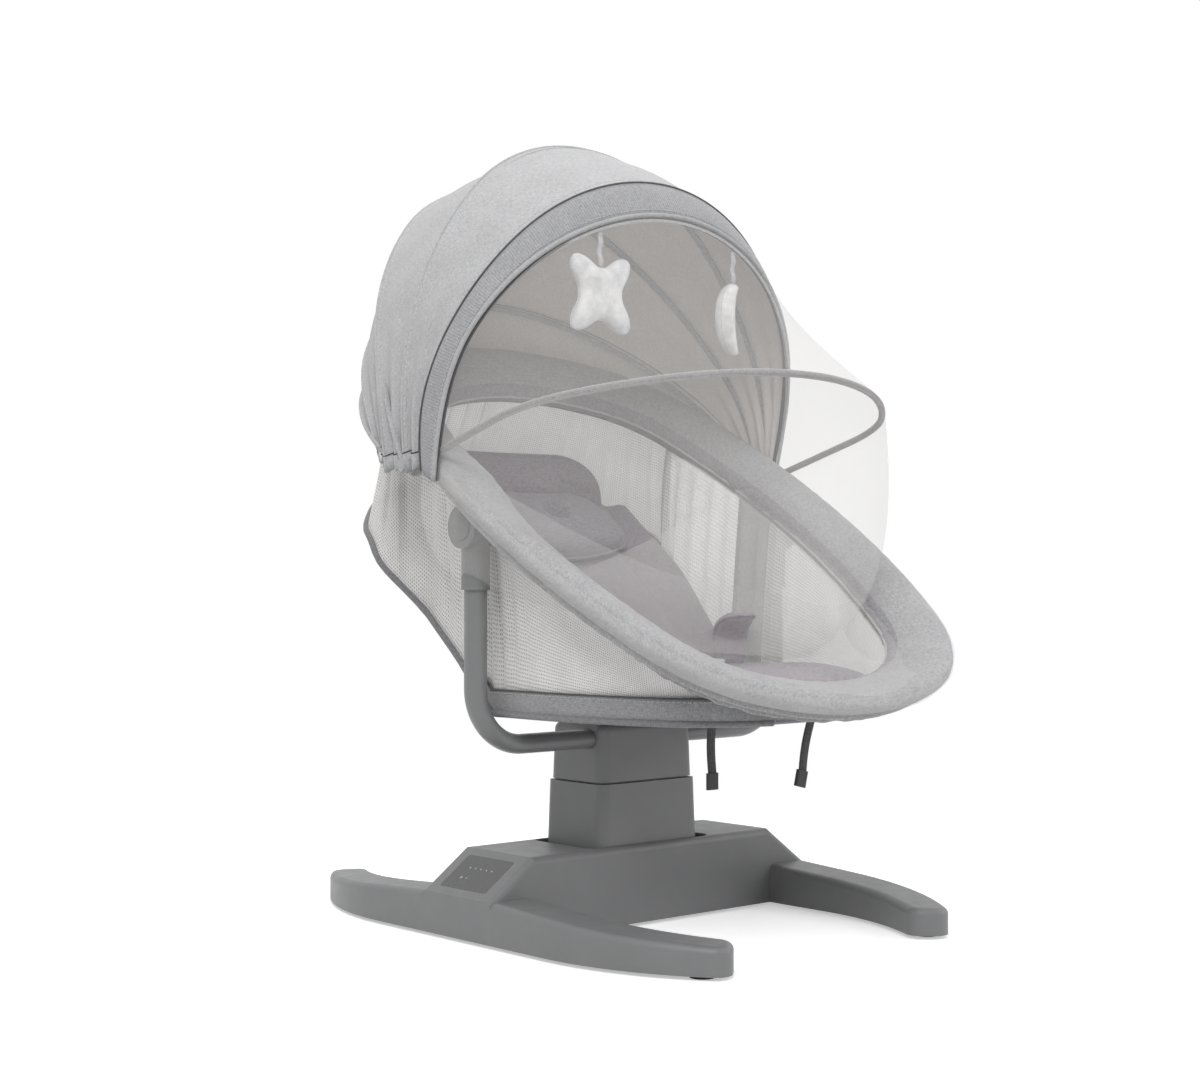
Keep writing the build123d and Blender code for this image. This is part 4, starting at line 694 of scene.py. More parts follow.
# Rim
RIM_A, RIM_B, RIM_LEAN = 0.0372, 0.0172, radians(25)
RIM_COUNT, RIM_SIDES, RIM_GIRTH, RIM_RUN = 420, 56, 0.18, 1.83
PIPE_AT, EDGE_AT, INNER_AT = radians(255), radians(205), radians(172)
BRACKET_TURNS = (-5.2, 185.2)
FLANGE_COUNT, FLANGE_FALL = 301, 0.0105


def rim_section(turn, angle, swell=0.0):
    """Point of the rim pad's surface: angle 0 at its outer edge, 90 on top, 270 underneath."""
    foot = max(0.0, sin(radians(turn))) ** 2
    along = (RIM_A + swell) * power(cos(angle), 0.92)
    across = (RIM_B * (1 - 0.10 * foot) + swell) * power(sin(angle), 0.80)
    out = along * cos(RIM_LEAN) - across * sin(RIM_LEAN)
    lift = along * sin(RIM_LEAN) + across * cos(RIM_LEAN)
    return rim_spot(turn, out, lift - 0.008 * foot)


def rim_line(turns, angle, swell):
    """Line along the rim pad's surface."""
    return np.array([rim_section(t, angle, swell) for t in turns])


turns = rim_turns(RIM_COUNT)
phi = np.linspace(0, tau, RIM_SIDES, endpoint=False)
once_round = np.linspace(0, tau, RIM_COUNT, endpoint=False)
wrinkle = sum(0.00022 * np.sin(once_round * k + rng.uniform(0, 6.28)) for k in (37, 53, 71, 97))
rim_grid = []
for i, t in enumerate(turns):
    corner = abs(sin(radians(2 * t)))
    by_hub = min(abs((t - hub + 180) % 360 - 180) for hub in BRACKET_TURNS)
    ring = []
    for a in phi:
        inner = max(0.0, -cos(a))
        fold = inner * corner * 0.0007 * sin(i * 0.9) + wrinkle[i] * (0.4 + inner)
        groove = -0.0018 * exp(-(((a - PIPE_AT) / 0.09) ** 2))
        cover = 0.0094 * exp(-((by_hub / 6.0) ** 2) - ((a - 2.05) / 0.75) ** 2)
        ring.append(rim_section(t, a, fold + groove + cover))
    rim_grid.append(ring)
flange_top = rim_line(np.linspace(-6, 186, FLANGE_COUNT), PIPE_AT + 0.16, 0.0002)
count = np.arange(FLANGE_COUNT)
wavy = 0.0008 * np.sin(count * 0.33) + 0.0006 * np.sin(count * 0.71 + 1)
fall = np.zeros((FLANGE_COUNT, 3))
fall[:, 2] = -hump(FLANGE_COUNT) ** 0.5 * (FLANGE_FALL + wavy)
flange_grid = np.array([flange_top + fall * k for k in np.linspace(0, 1, 6)])
rim = mesh_object(
    "rim_pad_cloth",
    (
        np.array(rim_grid).reshape(-1, 3), grid_faces(RIM_COUNT, RIM_SIDES, True, True),
        # the rim pad's inner side takes the darker copy: painted shade
        [RIM if cos(a) > -0.55 else RIM_IN_SHADED for a in phi] * RIM_COUNT,
        layout(RIM_GIRTH * phi / tau, np.linspace(0, RIM_RUN, RIM_COUNT)),
    ),
    shell(flange_grid, 0.0014, RIM, RIM, IN_TUB - flange_grid),
    # near-black line in the rim's groove: painted shade
    tube(rim_line(turns, PIPE_AT, 0.0004), 0.0017, SEAM_SHADE, closed=True),
    tube(rim_line(turns, EDGE_AT, 0.0002), 0.0015, BINDING, closed=True),
    tube(rim_line(turns, INNER_AT, 0.0002), 0.0016, PIPING, closed=True),
    stitches(rim_line(turns, PIPE_AT - 0.20, 0.0001), mat=BINDING),
)
place(rim, "rim_fabric", "seat", "rim_pad")


# Insect net
BOW_HEIGHT, BOW_LEG, BOW_ANGLE, BOW_RADIUS = 0.334, 0.150, 16.7, 0.0040
HOOP_EDGE, BOW_EDGE = 66.6, 17.0
NET_ROWS, UPPER_COLS, FRONT_COLS = 41, 141, 161


def net_line(angle, half, height, leg, count):
    return fan(angle, arch(half + CLOTH_NEAR, height + CLOTH_NEAR, leg, CLOTH_START, count))


hoop_edge = net_line(HOOP_EDGE, FRONT_HALF, FRONT_HEIGHT, 0.030, UPPER_COLS)
bow_edge = net_line(BOW_EDGE, NET_HALF, BOW_HEIGHT, BOW_LEG, UPPER_COLS)
upper = between(hoop_edge, bow_edge, NET_ROWS)
sag = hump(NET_ROWS)[:, None] * hump(UPPER_COLS)[None, :] ** 0.7
upper = upper + unit(UNDER_CANOPY - upper) * (sag * 0.011)[..., None]
net_upper, area = thin_sheet("net_upper_cloth", upper, NET)
place(net_upper, "net_fabric", None, "net_upper")
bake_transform(net_upper)

# Below the bow it falls inwards, then swings out over the rim's edge to a hem under it
bow_low = net_line(BOW_ANGLE, NET_HALF, BOW_HEIGHT, BOW_LEG, FRONT_COLS)
waist = net_line(-10.0, 0.2825, 0.338, 0.120, FRONT_COLS)
hem_turns = np.linspace(-9.0, 189.0, FRONT_COLS)
over_rim = [rim_line(hem_turns, radians(a), 0.0018) for a in (4, -14, -34, -54, -72)]
hem_line = over_rim[-1]
first = np.linalg.norm(waist - bow_low, axis=1)
second = np.linalg.norm(over_rim[0] - waist, axis=1)
mid = (first / np.maximum(first + second, 1e-6))[None, :, None]
v = np.linspace(0, 1, NET_ROWS)[:, None, None]
front = (
    bow_low[None] * (v - mid) * (v - 1) / mid
    + waist[None] * v * (v - 1) / (mid * (mid - 1))
    + over_rim[0][None] * v * (v - mid) / (1 - mid)
)
net_front, area = thin_sheet("net_front_cloth", np.concatenate([front, over_rim[1:]]), NET)
net_hem = mesh_object(
    "net_hem_tape",
    tube(hem_line, 0.0013, RIM, 12, flat=3.0, up=(0, 0.25, 1)),
    tube(hem_line + UP * 0.0040, 0.0014, BINDING, 6),
)
place(net_front, "net_fabric", "net", "net_front")
place(net_hem, "net_fabric", "net")

bow_line = fan(BOW_ANGLE, arch(NET_HALF, BOW_HEIGHT, BOW_LEG, -0.004, FRONT_COLS))
bow = mesh_object(
    "net_bow_sleeve", tube(bow_line, BOW_RADIUS, BOW, 12), stitches(bow_line + UP * BOW_RADIUS, length=0.0034)
)
place(bow, "hoop_plastic", "net", "net_bow")


# Tub: mesh walls, floor cloth and binding
WALL_ROWS, WALL_COLS, BAND_COLS, PLEAT_PITCH = 31, 221, 150, 0.029


def inward_normals(grid):
    """A tub wall's normals, towards the tub's inside."""
    n = normals_of(grid)
    return -n if np.sum(n * (IN_TUB - grid)) < 0 else n


def wall_grid(turns):
    """Wall cloth from its top edge to its foot, with pleats that fade downwards."""
    top = np.array([wall_top(t) for t in turns])
    grid = between(top, np.array([hull_foot(t) for t in turns]), WALL_ROWS)
    depth = np.array([0.0100 * step((-t + 4) / 10) + 0.0012 for t in turns])
    pleats = depth * (0.5 + 0.5 * np.cos(tau * run_of(top) / PLEAT_PITCH)) ** 4
    fade = np.sin(np.linspace(0.02, 1, WALL_ROWS) * pi) ** 0.5 * np.linspace(1.0, 0.35, WALL_ROWS)
    slack = hump(WALL_ROWS)[:, None] * 0.002
    return grid + inward_normals(grid) * (fade[:, None] * pleats[None, :] + slack)[..., None]


wall_turns = np.linspace(75, -50, WALL_COLS)
half_grid = wall_grid(np.concatenate([wall_turns, np.linspace(-50, -90, 76)[1:]]))
left_grid = half_grid[:, :WALL_COLS]
right_grid = left_grid * MIRROR
head_half = half_grid[:, WALL_COLS - 1:].copy()
head_half[:, -1, 0] = 0.0
head_grid = np.concatenate([head_half, (head_half * MIRROR)[:, -2::-1]], axis=1)
for side, grid in (("left", left_grid), ("right", right_grid), ("head", head_grid)):
    made, area = thin_sheet(f"mesh_wall_{side}_cloth", grid, MESH, side == "right")
    place(made, "mesh_fabric", "seat", "mesh_wall_" + side)
    tall = float(np.linalg.norm(np.diff(grid, axis=0), axis=2).sum(axis=0).max())

# Floor cloth: flat under the seat, up the slope behind it, rising to the rim at the foot
floor_rows = []
for t in np.concatenate([np.linspace(75, 0, 46), np.linspace(-2, -88, 50)]):
    x, y, z = hull_foot(t) - UP * 0.0008
    flat = BOARD_TOP + slope(y)
    close = min(1.0, max(0.0, 1 - abs(x) / 0.16)) ** 1.5
    floor_rows.append([
        ((abs(x) + 0.003) * k, y, flat + (z - flat) * (close + (1 - close) * abs(k) ** 5))
        for k in np.linspace(-1, 1, 61)
    ])
floor_grid = np.array(floor_rows)
FLOOR_EDGE_COUNT = 420
floor_edge = np.concatenate([floor_grid[:, 0], floor_grid[-1, 1:-1], floor_grid[::-1, -1]]) - UP * 0.002
floor_sewn = floor_edge * [0.965, 0.985, 1] - UP * 0.0022
floor = mesh_object(
    "tub_floor_cloth",
    shell(floor_grid, 0.004, FLOOR_IN, BASE_CLOTH, -UP),
    tube(even(floor_edge, FLOOR_EDGE_COUNT), 0.0036, BINDING, 10),
    stitches(even(floor_sewn, FLOOR_EDGE_COUNT)),
)
place(floor, "board_fabric", "seat", "seat_board", "back_board")


def foot_strip(grid, rise):
    """A strip up the outside of the wall from its foot."""
    foot = grid[-1]
    up = unit(grid[0] - foot)
    away = unit((foot - IN_TUB) * [1, 1, 0])
    return np.array([
        foot + up * rise * k + away * (0.0028 + 0.0012 * sin(pi * k)) for k in np.linspace(-0.12, 1, 9)
    ])


for side, grid in (("left", left_grid), ("right", right_grid)):
    strip = foot_strip(grid[:, :BAND_COLS], 0.024)
    band = mesh_object(
        f"wall_band_{side}",
        shell(strip, 0.0014, BASE_CLOTH, BASE_CLOTH, LOW_IN_TUB - strip),
        # near-black line along the band's upper seam: painted shade
        tube(strip[-1], 0.0012, SEAM_SHADE, 6),
        stitches(strip[-2] + (strip[-2] - LOW_IN_TUB) * 0.0025),
    )
    place(band, "board_fabric", "seat")
    # Upright tape on the wall beside the hub, on its inner side
    inner = grid[:, (wall_turns > -8.5) & (wall_turns < -2.3)] * [0.992, 1, 1]
    tape = mesh_object(f"wall_tape_{side}", shell(inner, 0.0012, TAPE, TAPE, inner - IN_TUB))
    place(tape, "board_fabric", "seat")

# Foot panel: cloth from the floor's front edge up to the rim
FOOT_LONG, FOOT_ROWS, FOOT_COLS = 0.30, 17, 61
foot_top = np.array([rim_spot(t, -0.030, -0.0205) for t in np.linspace(74, 106, FOOT_COLS)])
foot_x = np.linspace(-1, 1, FOOT_COLS) * board_half(TUB_FRONT)
foot_low = np.array([[x, TUB_FRONT, BOARD_TOP - 0.001] for x in foot_x])
foot_grid = between(foot_top, foot_low, FOOT_ROWS)
foot_grid[:, :, 2] -= hump(FOOT_ROWS)[:, None] * 0.006
foot_sheet = shell(foot_grid, 0.0016, BASE_CLOTH, BASE_CLOTH, (0, 1.0, 0.4))
foot_panel = mesh_object("foot_panel_cloth", foot_sheet)
place(foot_panel, "board_fabric", "seat")
area = area_of(foot_panel, foot_sheet)


# Pads
def apply_modifiers(obj):
    data = bpy.data.meshes.new_from_object(obj.evaluated_get(bpy.context.evaluated_depsgraph_get()))
    obj.modifiers.clear()
    obj.data = data


def closed_pad(name, rings, mat):
    """Closed mesh through rings of points, its ends drawn together."""
    rows, cols = rings.shape[:2]
    verts = list(rings.reshape(-1, 3)) + [rings[0].mean(0), rings[-1].mean(0)]
    faces = grid_faces(rows, cols, False, True)
    last = (rows - 1) * cols
    for j in range(cols):
        faces.append([rows * cols, (j + 1) % cols, j])
        faces.append([rows * cols + 1, last + j, last + (j + 1) % cols])
    return mesh_object(name, (verts, faces, [mat] * len(faces), ()))


def vectors_of(obj, what="co"):
    """The mesh's points, or with "normal" their normals."""
    out = np.zeros(len(obj.data.vertices) * 3, np.float32)
    obj.data.vertices.foreach_get(what, out)
    return out.reshape(-1, 3).astype(float)


def set_points(obj, co):
    obj.data.vertices.foreach_set("co", np.asarray(co, np.float32).ravel())
    obj.data.update()


def nearest(co, path):
    """Distance to a line of points, and the nearest point's number."""
    best = np.full(len(co), 1e9)
    which = np.zeros(len(co), int)
    for k in range(0, len(path), 64):
        d = np.linalg.norm(co[:, None] - path[None, k:k + 64], axis=2)
        m = d.min(1)
        closer = m < best
        which[closer] = d.argmin(1)[closer] + k
        best = np.minimum(best, m)
    return best, which


def puff(obj, seam, cap, voxel=0.005, pressure=4.0, hold=0.004):
    """Fills a closed cloth form with air, held along its seam, and keeps what the cloth does."""
    frames = 20
    made = obj.modifiers.new("even", "REMESH")
    made.mode = "VOXEL"
    made.voxel_size = voxel
    apply_modifiers(obj)
    start = vectors_of(obj)
    group = obj.vertex_groups.new(name="seam")
    group.add([int(k) for k in np.nonzero(nearest(start, seam)[0] < hold)[0]], 1.0, "REPLACE")
    cloth = obj.modifiers.new("air", "CLOTH")
    s = cloth.settings
    s.quality = 5
    s.mass = 0.3
    s.use_pressure = True
    s.uniform_pressure_force = pressure
    s.tension_stiffness = s.compression_stiffness = 12
    s.bending_stiffness = 0.4
    s.vertex_group_mass = "seam"
    s.effector_weights.gravity = 0
    cloth.collision_settings.use_collision = False
    cloth.point_cache.frame_start = 1
    cloth.point_cache.frame_end = frames
    for f in range(1, frames + 1):
        bpy.context.scene.frame_set(f)
    apply_modifiers(obj)
    move = vectors_of(obj) - start
    size = np.linalg.norm(move, axis=1, keepdims=True)
    set_points(obj, start + move * np.minimum(1.0, cap / np.maximum(size, 1e-9)))
    obj.vertex_groups.clear()
    bpy.context.scene.frame_set(1)


def soft_finish(obj, mat):
    obj.data.materials.clear()
    obj.data.materials.append(mat)
    obj.data.polygons.foreach_set("use_smooth", np.ones(len(obj.data.polygons), bool))
    sub = obj.modifiers.new("smooth", "SUBSURF")
    sub.levels = sub.render_levels = 1


def pad_ring(width, low, mid, high, count=64):
    """Section of a pad as (across, up): flat below, crowned above, drawn in to a seam at mid height."""
    out = []
    for k in range(count):
        c, s = cos(tau * k / count), sin(tau * k / count)
        h = mid + (high - mid) * s ** 0.85 if s >= 0 else mid - (mid - low) * (-s) ** 0.5
        out.append((width * power(c, 0.80), h))
    return out


def edge_height(edge):
    """Height of a rounded edge, from 0 at its start to 1."""
    return sqrt(max(0.0, 1 - (1 - min(edge, 1.0)) ** 2))


def crowned_ring(width, seam, crown, tall, count=64):
    """Section of a pad whose two faces meet at its seam's height where it ends."""
    return pad_ring(width, seam * (1 - tall), seam, seam + (crown - seam) * max(tall, 0.02), count)


def seam_of(rings, count, closed=True):
    """The seam round a pad's sides and ends; where it is open, the first end is left out."""
    half = rings.shape[1] // 2
    line = [rings[:, 0], rings[-1, 1:half], rings[::-1, half]]
    if closed:
        line.append(rings[0, half - 1:0:-1])
    return even(np.concatenate(line), count, closed)


def filled_pad(name, rings, mat, seam_count, cap, voxel=0.005, closed=True):
    """A pad filled with air, and its seam."""
    rings = np.array(rings)
    seam = seam_of(rings, seam_count, closed)
    pad = closed_pad(name, rings, mat)
    puff(pad, seam, cap, voxel)
    return pad, seam


def sew_pad(pad, seam, mat, slot, pipe, pipe_mat, closed=True):
    """Gives a pad its cloth and piping, and puts both on the seat."""
    node = pad.name.replace("_cloth", "")
    soft_finish(pad, mat)
    piping = mesh_object(node + "_piping", tube(seam, pipe, pipe_mat, closed=closed))
    place(pad, slot, "seat", node)
    place(piping, slot, "seat")


def dent(obj, distance, depth, width, keep):
    """Presses a sewn line into a pad along its normals."""
    amount = depth * np.exp(-((distance / width) ** 2)) * keep
    set_points(obj, vectors_of(obj) - vectors_of(obj, "normal") * amount[:, None])


def keep_inside(co, gap):
    """Draws points that reach through the tub's wall back to its inner side."""
    wall_points = half_grid.reshape(-1, 3)
    inward = inward_normals(half_grid).reshape(-1, 3)
    tree = KDTree(len(wall_points))
    for k, spot in enumerate(wall_points):
        tree.insert(spot, k)
    tree.balance()
    mirror = np.ones_like(co)
    mirror[co[:, 0] > 0, 0] = -1
    left = co * mirror
    which = np.array([tree.find(spot)[1] for spot in left])
    off = np.sum((left - wall_points[which]) * inward[which], axis=1)
    return (left + inward[which] * np.clip(gap - off, 0, 0.03)[:, None]) * mirror


# Seat pad: four sewn channels across it and one along its front
SEAT_LONG, SEAT_LOW, SEAT_SEAM, SEAT_CROWN = 0.276, BOARD_TOP + 0.0005, 0.015, 0.046
rings = []
for share in shares(61):
    y = TUB_FRONT + SEAT_LONG * share
    tall = edge_height(min(share * SEAT_LONG / 0.024, (1 - share) * SEAT_LONG / 0.030))
    wide = min(0.160, board_half(y) - 0.004) * (0.90 + 0.10 * tall)
    curl = 0.007 * step((TUB_FRONT + 0.10 - y) / 0.09)
    rings.append([(x, y, SEAT_LOW + curl + h) for x, h in crowned_ring(wide, SEAT_SEAM, SEAT_CROWN, tall)])
seat_pad, seat_seam = filled_pad("seat_pad_cloth", rings, PAD, 400, 0.006)
co = vectors_of(seat_pad)
on_top = np.clip((co[:, 2] - SEAT_LOW - 0.016) / 0.01, 0, 1)
for k in range(1, 5):
    dent(seat_pad, co[:, 1] - (TUB_FRONT + SEAT_LONG * k / 5), 0.0055, 0.0050, on_top)
by_front = np.clip((TUB_FRONT + 0.06 - co[:, 1]) / 0.03, 0, 1)
dent(seat_pad, co[:, 2] - (SEAT_LOW + 0.029), 0.0035, 0.0030, by_front)
sew_pad(seat_pad, seat_seam, PAD, "pad_fabric", 0.0024, PILLOW)


# Back pad: up the slope, then curled up against the head wall
RUN, CURL, RISE, START, LEAN = 0.284, 0.052, 0.066, 0.022, radians(100)
CURL_RUN = (LEAN - BACK) * CURL
BACK_LONG = RUN + CURL_RUN + RISE
BACK_SEAM, BACK_CROWN, HEAD_ROUND, HEAD_POWER = 0.016, 0.045, 0.095, 2.6
HEAD_Y, HEAD_HALF = (0.20, 0.24, 0.27, 0.29, 0.31), (0.180, 0.168, 0.155, 0.143, 0.130)


def bowl(x, y):
    """How far the pads ride up the tub's sides behind the bend."""
    return 0.080 * step((y + 0.01) / 0.16) * min(1.0, abs(x) / 0.21) ** 2.2


def back_path(s):
    """Place along the back pad's underside as (y, z), and its slope."""
    y = (START + min(s, RUN)) * cos(BACK)
    z = (START + min(s, RUN)) * sin(BACK)
    bend = 0.0
    if s > RUN:
        bend = min(s - RUN, CURL_RUN) / CURL
        y += CURL * (sin(BACK + bend) - sin(BACK))
        z += CURL * (cos(BACK) - cos(BACK + bend))
    if s > RUN + CURL_RUN:
        y += (s - RUN - CURL_RUN) * cos(BACK + bend)
        z += (s - RUN - CURL_RUN) * sin(BACK + bend)
    return BEND_Y + y, BOARD_TOP + 0.0009 + z, BACK + bend


rings = []
room = 0.188
for s in shares(81) * BACK_LONG:
    y, z, a = back_path(s)
    room = min(room, max(board_half(y) - 0.012, np.interp(y, HEAD_Y, HEAD_HALF)))
    tall = edge_height(min(s / 0.034, (BACK_LONG - s) / 0.046))
    past = min(1.0, max(0.0, (s - (BACK_LONG - HEAD_ROUND)) / HEAD_ROUND))
    rounded = (1 - past ** HEAD_POWER) ** (1 / HEAD_POWER) * 0.40 + 0.60
    wide = room * (0.80 + 0.20 * tall) * rounded
    wrap = step((s - 0.245) / 0.10)
    rings.append([
        (x, y - h * sin(a) - 1.5 * x * x * wrap, z + h * cos(a) + bowl(x, y) * (1 - wrap))
        for x, h in crowned_ring(wide, BACK_SEAM, BACK_CROWN, tall)
    ])
back_pad, back_seam = filled_pad("back_pad_cloth", rings, PAD, 500, 0.007)

# Sewn channels: five up the back, the middle three under the pillow, and one below the curl
co = vectors_of(back_pad)
along = np.linspace(0, BACK_LONG, 300)
fine = np.array([back_path(s) for s in along])
level = co[:, 2] - np.array([bowl(x, y) for x, y in co[:, :2]])
which = nearest(np.stack([co[:, 1], level], axis=1), fine[:, :2])[1]
s_at, (y_at, z_at, a_at) = along[which], fine[which].T
height = (level - z_at) * np.cos(a_at) - (co[:, 1] - y_at) * np.sin(a_at)
on_top = np.clip((height - 0.018) / 0.01, 0, 1)
for k in range(-2, 3):
    reach = 0.155 if abs(k) < 2 else 0.26
    dent(back_pad, co[:, 0] - k * 0.054, 0.0060, 0.0055, on_top * np.clip((reach - s_at) / 0.03, 0, 1))
dent(back_pad, s_at - 0.300, 0.0050, 0.0060, on_top)
set_points(back_pad, keep_inside(vectors_of(back_pad), 0.004))
sew_pad(back_pad, keep_inside(back_seam, 0.0055), PAD, "pad_fabric", 0.0024, PILLOW)


# Head pillow, drawn together at its middle
P_START, P_LONG, P_LOW, P_SEAM, P_CROWN, P_KNOT = START + 0.174, 0.118, 0.0488, 0.013, 0.045, 0.050
P_SHARES, P_HALVES = (0, 0.1, 0.45, 0.7, 0.9, 1.0), (0.100, 0.109, 0.108, 0.098, 0.080, 0.064)


def on_back(x, s, h):
    """Point on the back's slope: across, along and off it."""
    y = BEND_Y + s * cos(BACK) - h * sin(BACK)
    return (x, y, BOARD_TOP + s * sin(BACK) + h * cos(BACK) + bowl(x, y))


rings = []
for share in shares(51):
    tall = edge_height(min(share / 0.14, (1 - share) / 0.34))
    wide = np.interp(share, P_SHARES, P_HALVES)
    ring = crowned_ring(wide, P_SEAM, P_CROWN, tall, 56)
    rings.append([on_back(x, P_START + P_LONG * share, P_LOW + h) for x, h in ring])
pillow, pillow_seam = filled_pad("head_pillow_cloth", rings, PILLOW, 300, 0.006, 0.004)
co = vectors_of(pillow)
off = co - on_back(0, P_START + P_KNOT, P_LOW)
u, w = off[:, 0], off[:, 1] * cos(BACK) + off[:, 2] * sin(BACK)
h = -off[:, 1] * sin(BACK) + off[:, 2] * cos(BACK)
r, theta = np.hypot(u * 0.8, w), np.arctan2(w, u)
knot = -0.016 * np.exp(-((r / 0.012) ** 2)) + 0.006 * np.exp(-(((r - 0.020) / 0.008) ** 2))
gather = 0.0030 * np.cos(9 * theta + 1.2 * np.sin(3 * theta)) * np.exp(-r / 0.030) * np.clip(r / 0.012, 0, 1)
lift = (knot + gather) * np.clip((h - 0.012) / 0.012, 0, 1)
set_points(pillow, co + lift[:, None] * [0, -sin(BACK), cos(BACK)])
sew_pad(pillow, pillow_seam, PILLOW, "pillow_fabric", 0.0021, PAD)

# Crotch pad: a flap that stands up from the seat pad and curls over
FLAP_ROWS, FLAP_LONG, FLAP_THICK = 31, 0.068, 0.0065
FLAP_SHARES, FLAP_HALVES = (0, 0.25, 0.7, 0.9, 1.0), (0.022, 0.0255, 0.026, 0.021, 0.011)
spot = np.array([-0.143, 0.3035])
rings = []
for share in np.linspace(0, 1, FLAP_ROWS):
    a = radians(92 + 74 * step((share - 0.30) / 0.70))
    thick = FLAP_THICK * max(edge_height(min(share / 0.10, (1 - share) / 0.16)), 0.03)
    wide = np.interp(share, FLAP_SHARES, FLAP_HALVES)
    ring = pad_ring(wide, -thick, 0.0, thick, 40)
    rings.append([(x, spot[0] - sin(a) * h, spot[1] + cos(a) * h) for x, h in ring])
    spot = spot + np.array([cos(a), sin(a)]) * FLAP_LONG / (FLAP_ROWS - 1)
crotch, crotch_seam = filled_pad("crotch_pad_cloth", rings, PAD, 160, 0.003, 0.003, False)
sew_pad(crotch, crotch_seam, PAD, "pad_fabric", 0.0017, PILLOW, False)

# Toys, hung from the front hoop
HANG_X, HANG_Y, HANG_Z, RIBBON_LONG = 0.105, -0.0461, 0.786, 0.038
TOY_TOP = HANG_Z - RIBBON_LONG - 0.0003


def finish_toy(body, rings, seam, mat, cap, voxel):
    """Fills a toy, sews its seam and hangs both on its body."""
    name = f"toy_{body}_plush"
    made = closed_pad(name, rings, mat)
    puff(made, seam, cap, voxel, 6.0, 0.0022)
    soft_finish(made, mat)
    place(made, body + "_plush", body, "toy_" + body)
    sewn = mesh_object(name + "_seam", stitches(seam, 0.0012, 0.0028, 0.00035, RIBBON))
    place(sewn, body + "_plush", body)


# Star: four rounded points, its rings drawn in from the seam to the middle of each face
STAR_THICK, LEVELS = 0.0135, np.linspace(0, 1, 15) * pi / 2
a = tau * np.arange(128) / 128
r = 0.0300 + 0.0275 * (0.5 + 0.5 * np.cos(4 * (a - pi / 4))) ** 1.9
centre = np.array([-HANG_X, HANG_Y, TOY_TOP - 0.0318])
outline = np.stack([r * np.cos(a), np.zeros(128), r * np.sin(a)], axis=1)
mid = outline.mean(0)
rings = []
for side, levels in ((-1, LEVELS[:-1]), (1, LEVELS[::-1])):
    for q in levels:
        ring = centre + mid + (outline - mid) * (0.02 + 0.98 * sin(q))
        rings.append(ring + [0, side * STAR_THICK * cos(q) ** 0.8, 0])
finish_toy("star", np.array(rings), even(centre + outline, 200, True), STAR, 0.004, 0.0028)

# Moon: rings across a crescent from tip to tip
MOON_TURN, MOON_OUT, MOON_IN, MOON_SHIFT = radians(26), 0.0425, 0.0382, 0.0242
MOON_SIDES, MOON_THICK, MOON_WIDE = 28, 0.0115, 0.0145
centre = np.array([HANG_X, HANG_Y, TOY_TOP - 0.043])
x_dir = np.array([cos(MOON_TURN), sin(MOON_TURN), 0])
n = np.array([x_dir[1], -x_dir[0], 0])
rings = []
for share in np.linspace(0, 1, 61):
    a, b = radians(62 + 236 * share), radians(96 + 168 * share)
    outer = np.array([MOON_OUT * cos(a), MOON_OUT * sin(a)])
    inner = np.array([MOON_SHIFT + MOON_IN * cos(b), MOON_IN * sin(b)])
    middle, half = (outer + inner) / 2, (outer - inner) / 2
    thick = MOON_THICK * min(1.0, np.linalg.norm(half) / MOON_WIDE) ** 0.7
    ring = []
    for f in tau * np.arange(MOON_SIDES) / MOON_SIDES:
        p = middle + half * power(cos(f), 0.85)
        ring.append(centre + x_dir * p[0] + UP * p[1] + n * thick * sin(f))
    rings.append(ring)
rings = np.array(rings)
moon_seam = even(np.concatenate([rings[:, 0], rings[::-1, MOON_SIDES // 2]]), 220, True)
finish_toy("moon", rings, moon_seam, MOON, 0.003, 0.0026)

# Straps
STRAP_ROWS = 40
STRAP_SECTION = ((-1, -0.6), (-0.94, -1), (0.94, -1), (1, -0.6), (1, 0.6), (0.94, 1), (-0.94, 1), (-1, 0.6))


def strap(name, path, width, thick, across, mat):
    """Flat woven strap along points, with a thread line by each edge."""
    p = even(path, STRAP_ROWS)
    across = np.array(across, float)
    side = np.cross(unit(np.gradient(p, axis=0)), across)
    rings = np.stack(
        [p + across * x * width / 2 + unit(side) * h * thick / 2 for x, h in STRAP_SECTION], axis=1
    )
    faces = rod_faces(STRAP_ROWS, 8)
    girth = [0, 0.002, width, width + 0.002, width + 0.003, width + 0.005, 2 * width, 2 * width + 0.002]
    uv = layout(girth, np.linspace(0, run_of(p)[-1], STRAP_ROWS))
    pieces = [(rings.reshape(-1, 3), faces, [mat] * len(faces), uv)]
    for x, h in ((-0.8, -1), (-0.8, 1), (0.8, -1), (0.8, 1)):
        line = p + across * x * width / 2 + side * h * thick * 0.52
        pieces.append(stitches(line, 0.001, 0.0022, 0.00022, mat))
    return mesh_object(name, *pieces)


for body, x in (("star", -HANG_X), ("moon", HANG_X)):
    path = [
        (x + 0.0009 * sin(k), HANG_Y + 0.0012 * sin(k * 1.7), HANG_Z - 0.0005 - 0.0375 * k / 8)
        for k in range(9)
    ]
    ribbon = strap(f"{body}_ribbon_cloth", path, 0.007, 0.0012, (1, 0, 0), RIBBON)
    place(ribbon, "webbing", body, body + "_ribbon")

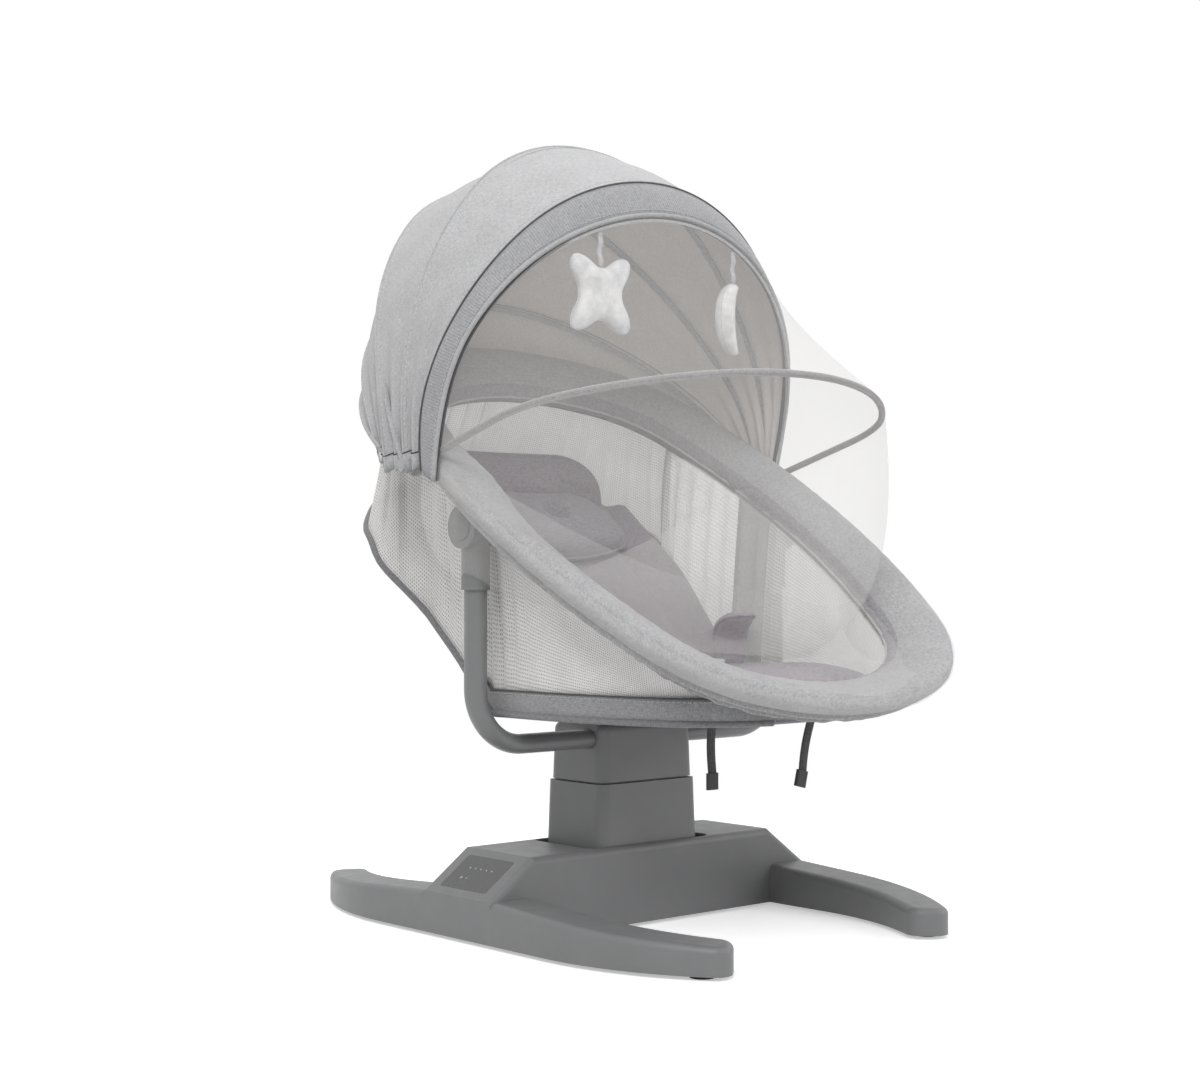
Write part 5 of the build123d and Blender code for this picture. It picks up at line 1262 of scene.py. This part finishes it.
TAIL_WIDE, TAIL_LONG = 0.012, 0.058
for side, x, y, z, lean in (
    ("left", -0.060, CENTRE_Y - 0.212, 0.2465, 0.0),
    ("right", 0.036, CENTRE_Y - 0.268, 0.2449, radians(14)),
):
    path = []
    for k in range(9):
        s = TAIL_LONG * k / 8
        path.append((x - s * sin(lean), y + 0.0022 * sin(pi * k / 8), z - s * cos(lean)))
    tail = strap(f"strap_tail_{side}", path, TAIL_WIDE, 0.0015, (cos(lean), 0, -sin(lean)), WEBBING)
    place(tail, "webbing", "seat", "strap_tails")

# Camera, light and floor
scene = bpy.context.scene
scene.view_settings.view_transform = "Standard"


def stand(name, data, spot, look):
    """Puts a camera or lamp in the scene, looking along a direction."""
    made = bpy.data.objects.new(name, data)
    made.location = spot
    made.rotation_mode = "QUATERNION"
    made.rotation_quaternion = look.to_track_quat("-Z", "Y")
    scene.collection.objects.link(made)
    return made


CAMERA_TURN = 0.734
cam_data = bpy.data.cameras.new("camera")
cam_data.lens = 60
cam_data.sensor_width = 36
cam_data.sensor_fit = "HORIZONTAL"
cam_data.dof.use_dof = False
ahead = Vector((sin(CAMERA_TURN), cos(CAMERA_TURN), 0))
right = Vector((cos(CAMERA_TURN), -sin(CAMERA_TURN), 0))
scene.camera = stand("camera", cam_data, (-1.5815, -1.7191, 0.410), ahead - 0.011 * right + Vector((0, 0, 0.014)))

for name, spot, aim, size, power_w in (
    ("key", (-1.9, -1.6, 2.6), (0, 0, 0.45), 1.8, 50),
    ("fill", (2.2, -1.8, 1.6), (0, 0, 0.45), 2.2, 20),
    ("top", (0.3, 0.9, 3.0), (0, 0, 0.4), 2.4, 30),
):
    data = bpy.data.lights.new(name, "AREA")
    data.shape = "DISK"
    data.size = size
    data.energy = power_w
    stand(name, data, spot, Vector(aim) - Vector(spot))


def seen_directly(tree, strength):
    """A strength for rays from the camera, a reflection or a see-through surface, and 0 for others."""
    rays = add(tree, "LightPath").outputs
    direct = calc(rays["Is Camera Ray"], "MAXIMUM", rays["Is Glossy Ray"])
    return calc(calc(direct, "MAXIMUM", rays["Is Transmission Ray"]), "MULTIPLY", strength)


# The floor catches the shadow, and fades out round the object
floor_mat = bpy.data.materials.new("studio_floor")
floor_mat.use_nodes = True
tree = floor_mat.node_tree
tree.nodes.clear()
diffuse = add(tree, "BsdfDiffuse", {"Color": (0.86, 0.86, 0.86, 1)})
glow = add(tree, "Emission", {"Strength": seen_directly(tree, 0.46)})
both = add(tree, "AddShader", {0: diffuse.outputs[0], 1: glow.outputs[0]})
far = add(tree, "VectorMath", {0: add(tree, "TexCoord").outputs["Object"]}, operation="LENGTH")
inputs = {"Value": far.outputs["Value"], "From Min": 0.75, "From Max": 1.5}
reach = add(tree, "MapRange", inputs, interpolation_type="SMOOTHSTEP")
clear = add(tree, "BsdfTransparent")
fade = add(tree, "MixShader", {"Fac": reach.outputs["Result"], 1: both.outputs[0], 2: clear.outputs[0]})
add(tree, "OutputMaterial", {"Surface": fade.outputs[0]})
corners = [(-9, -9, 0), (9, -9, 0), (9, 9, 0), (-9, 9, 0)]
mesh_object("studio_floor", (corners, [[0, 1, 2, 3]], [floor_mat], ()))

world = bpy.data.worlds.new("studio")
scene.world = world
world.use_nodes = True
strength = calc(seen_directly(world.node_tree, 0.42), "ADD", 0.58)
feed(world.node_tree.nodes["Background"], {"Color": (1, 1, 1, 1), "Strength": strength})
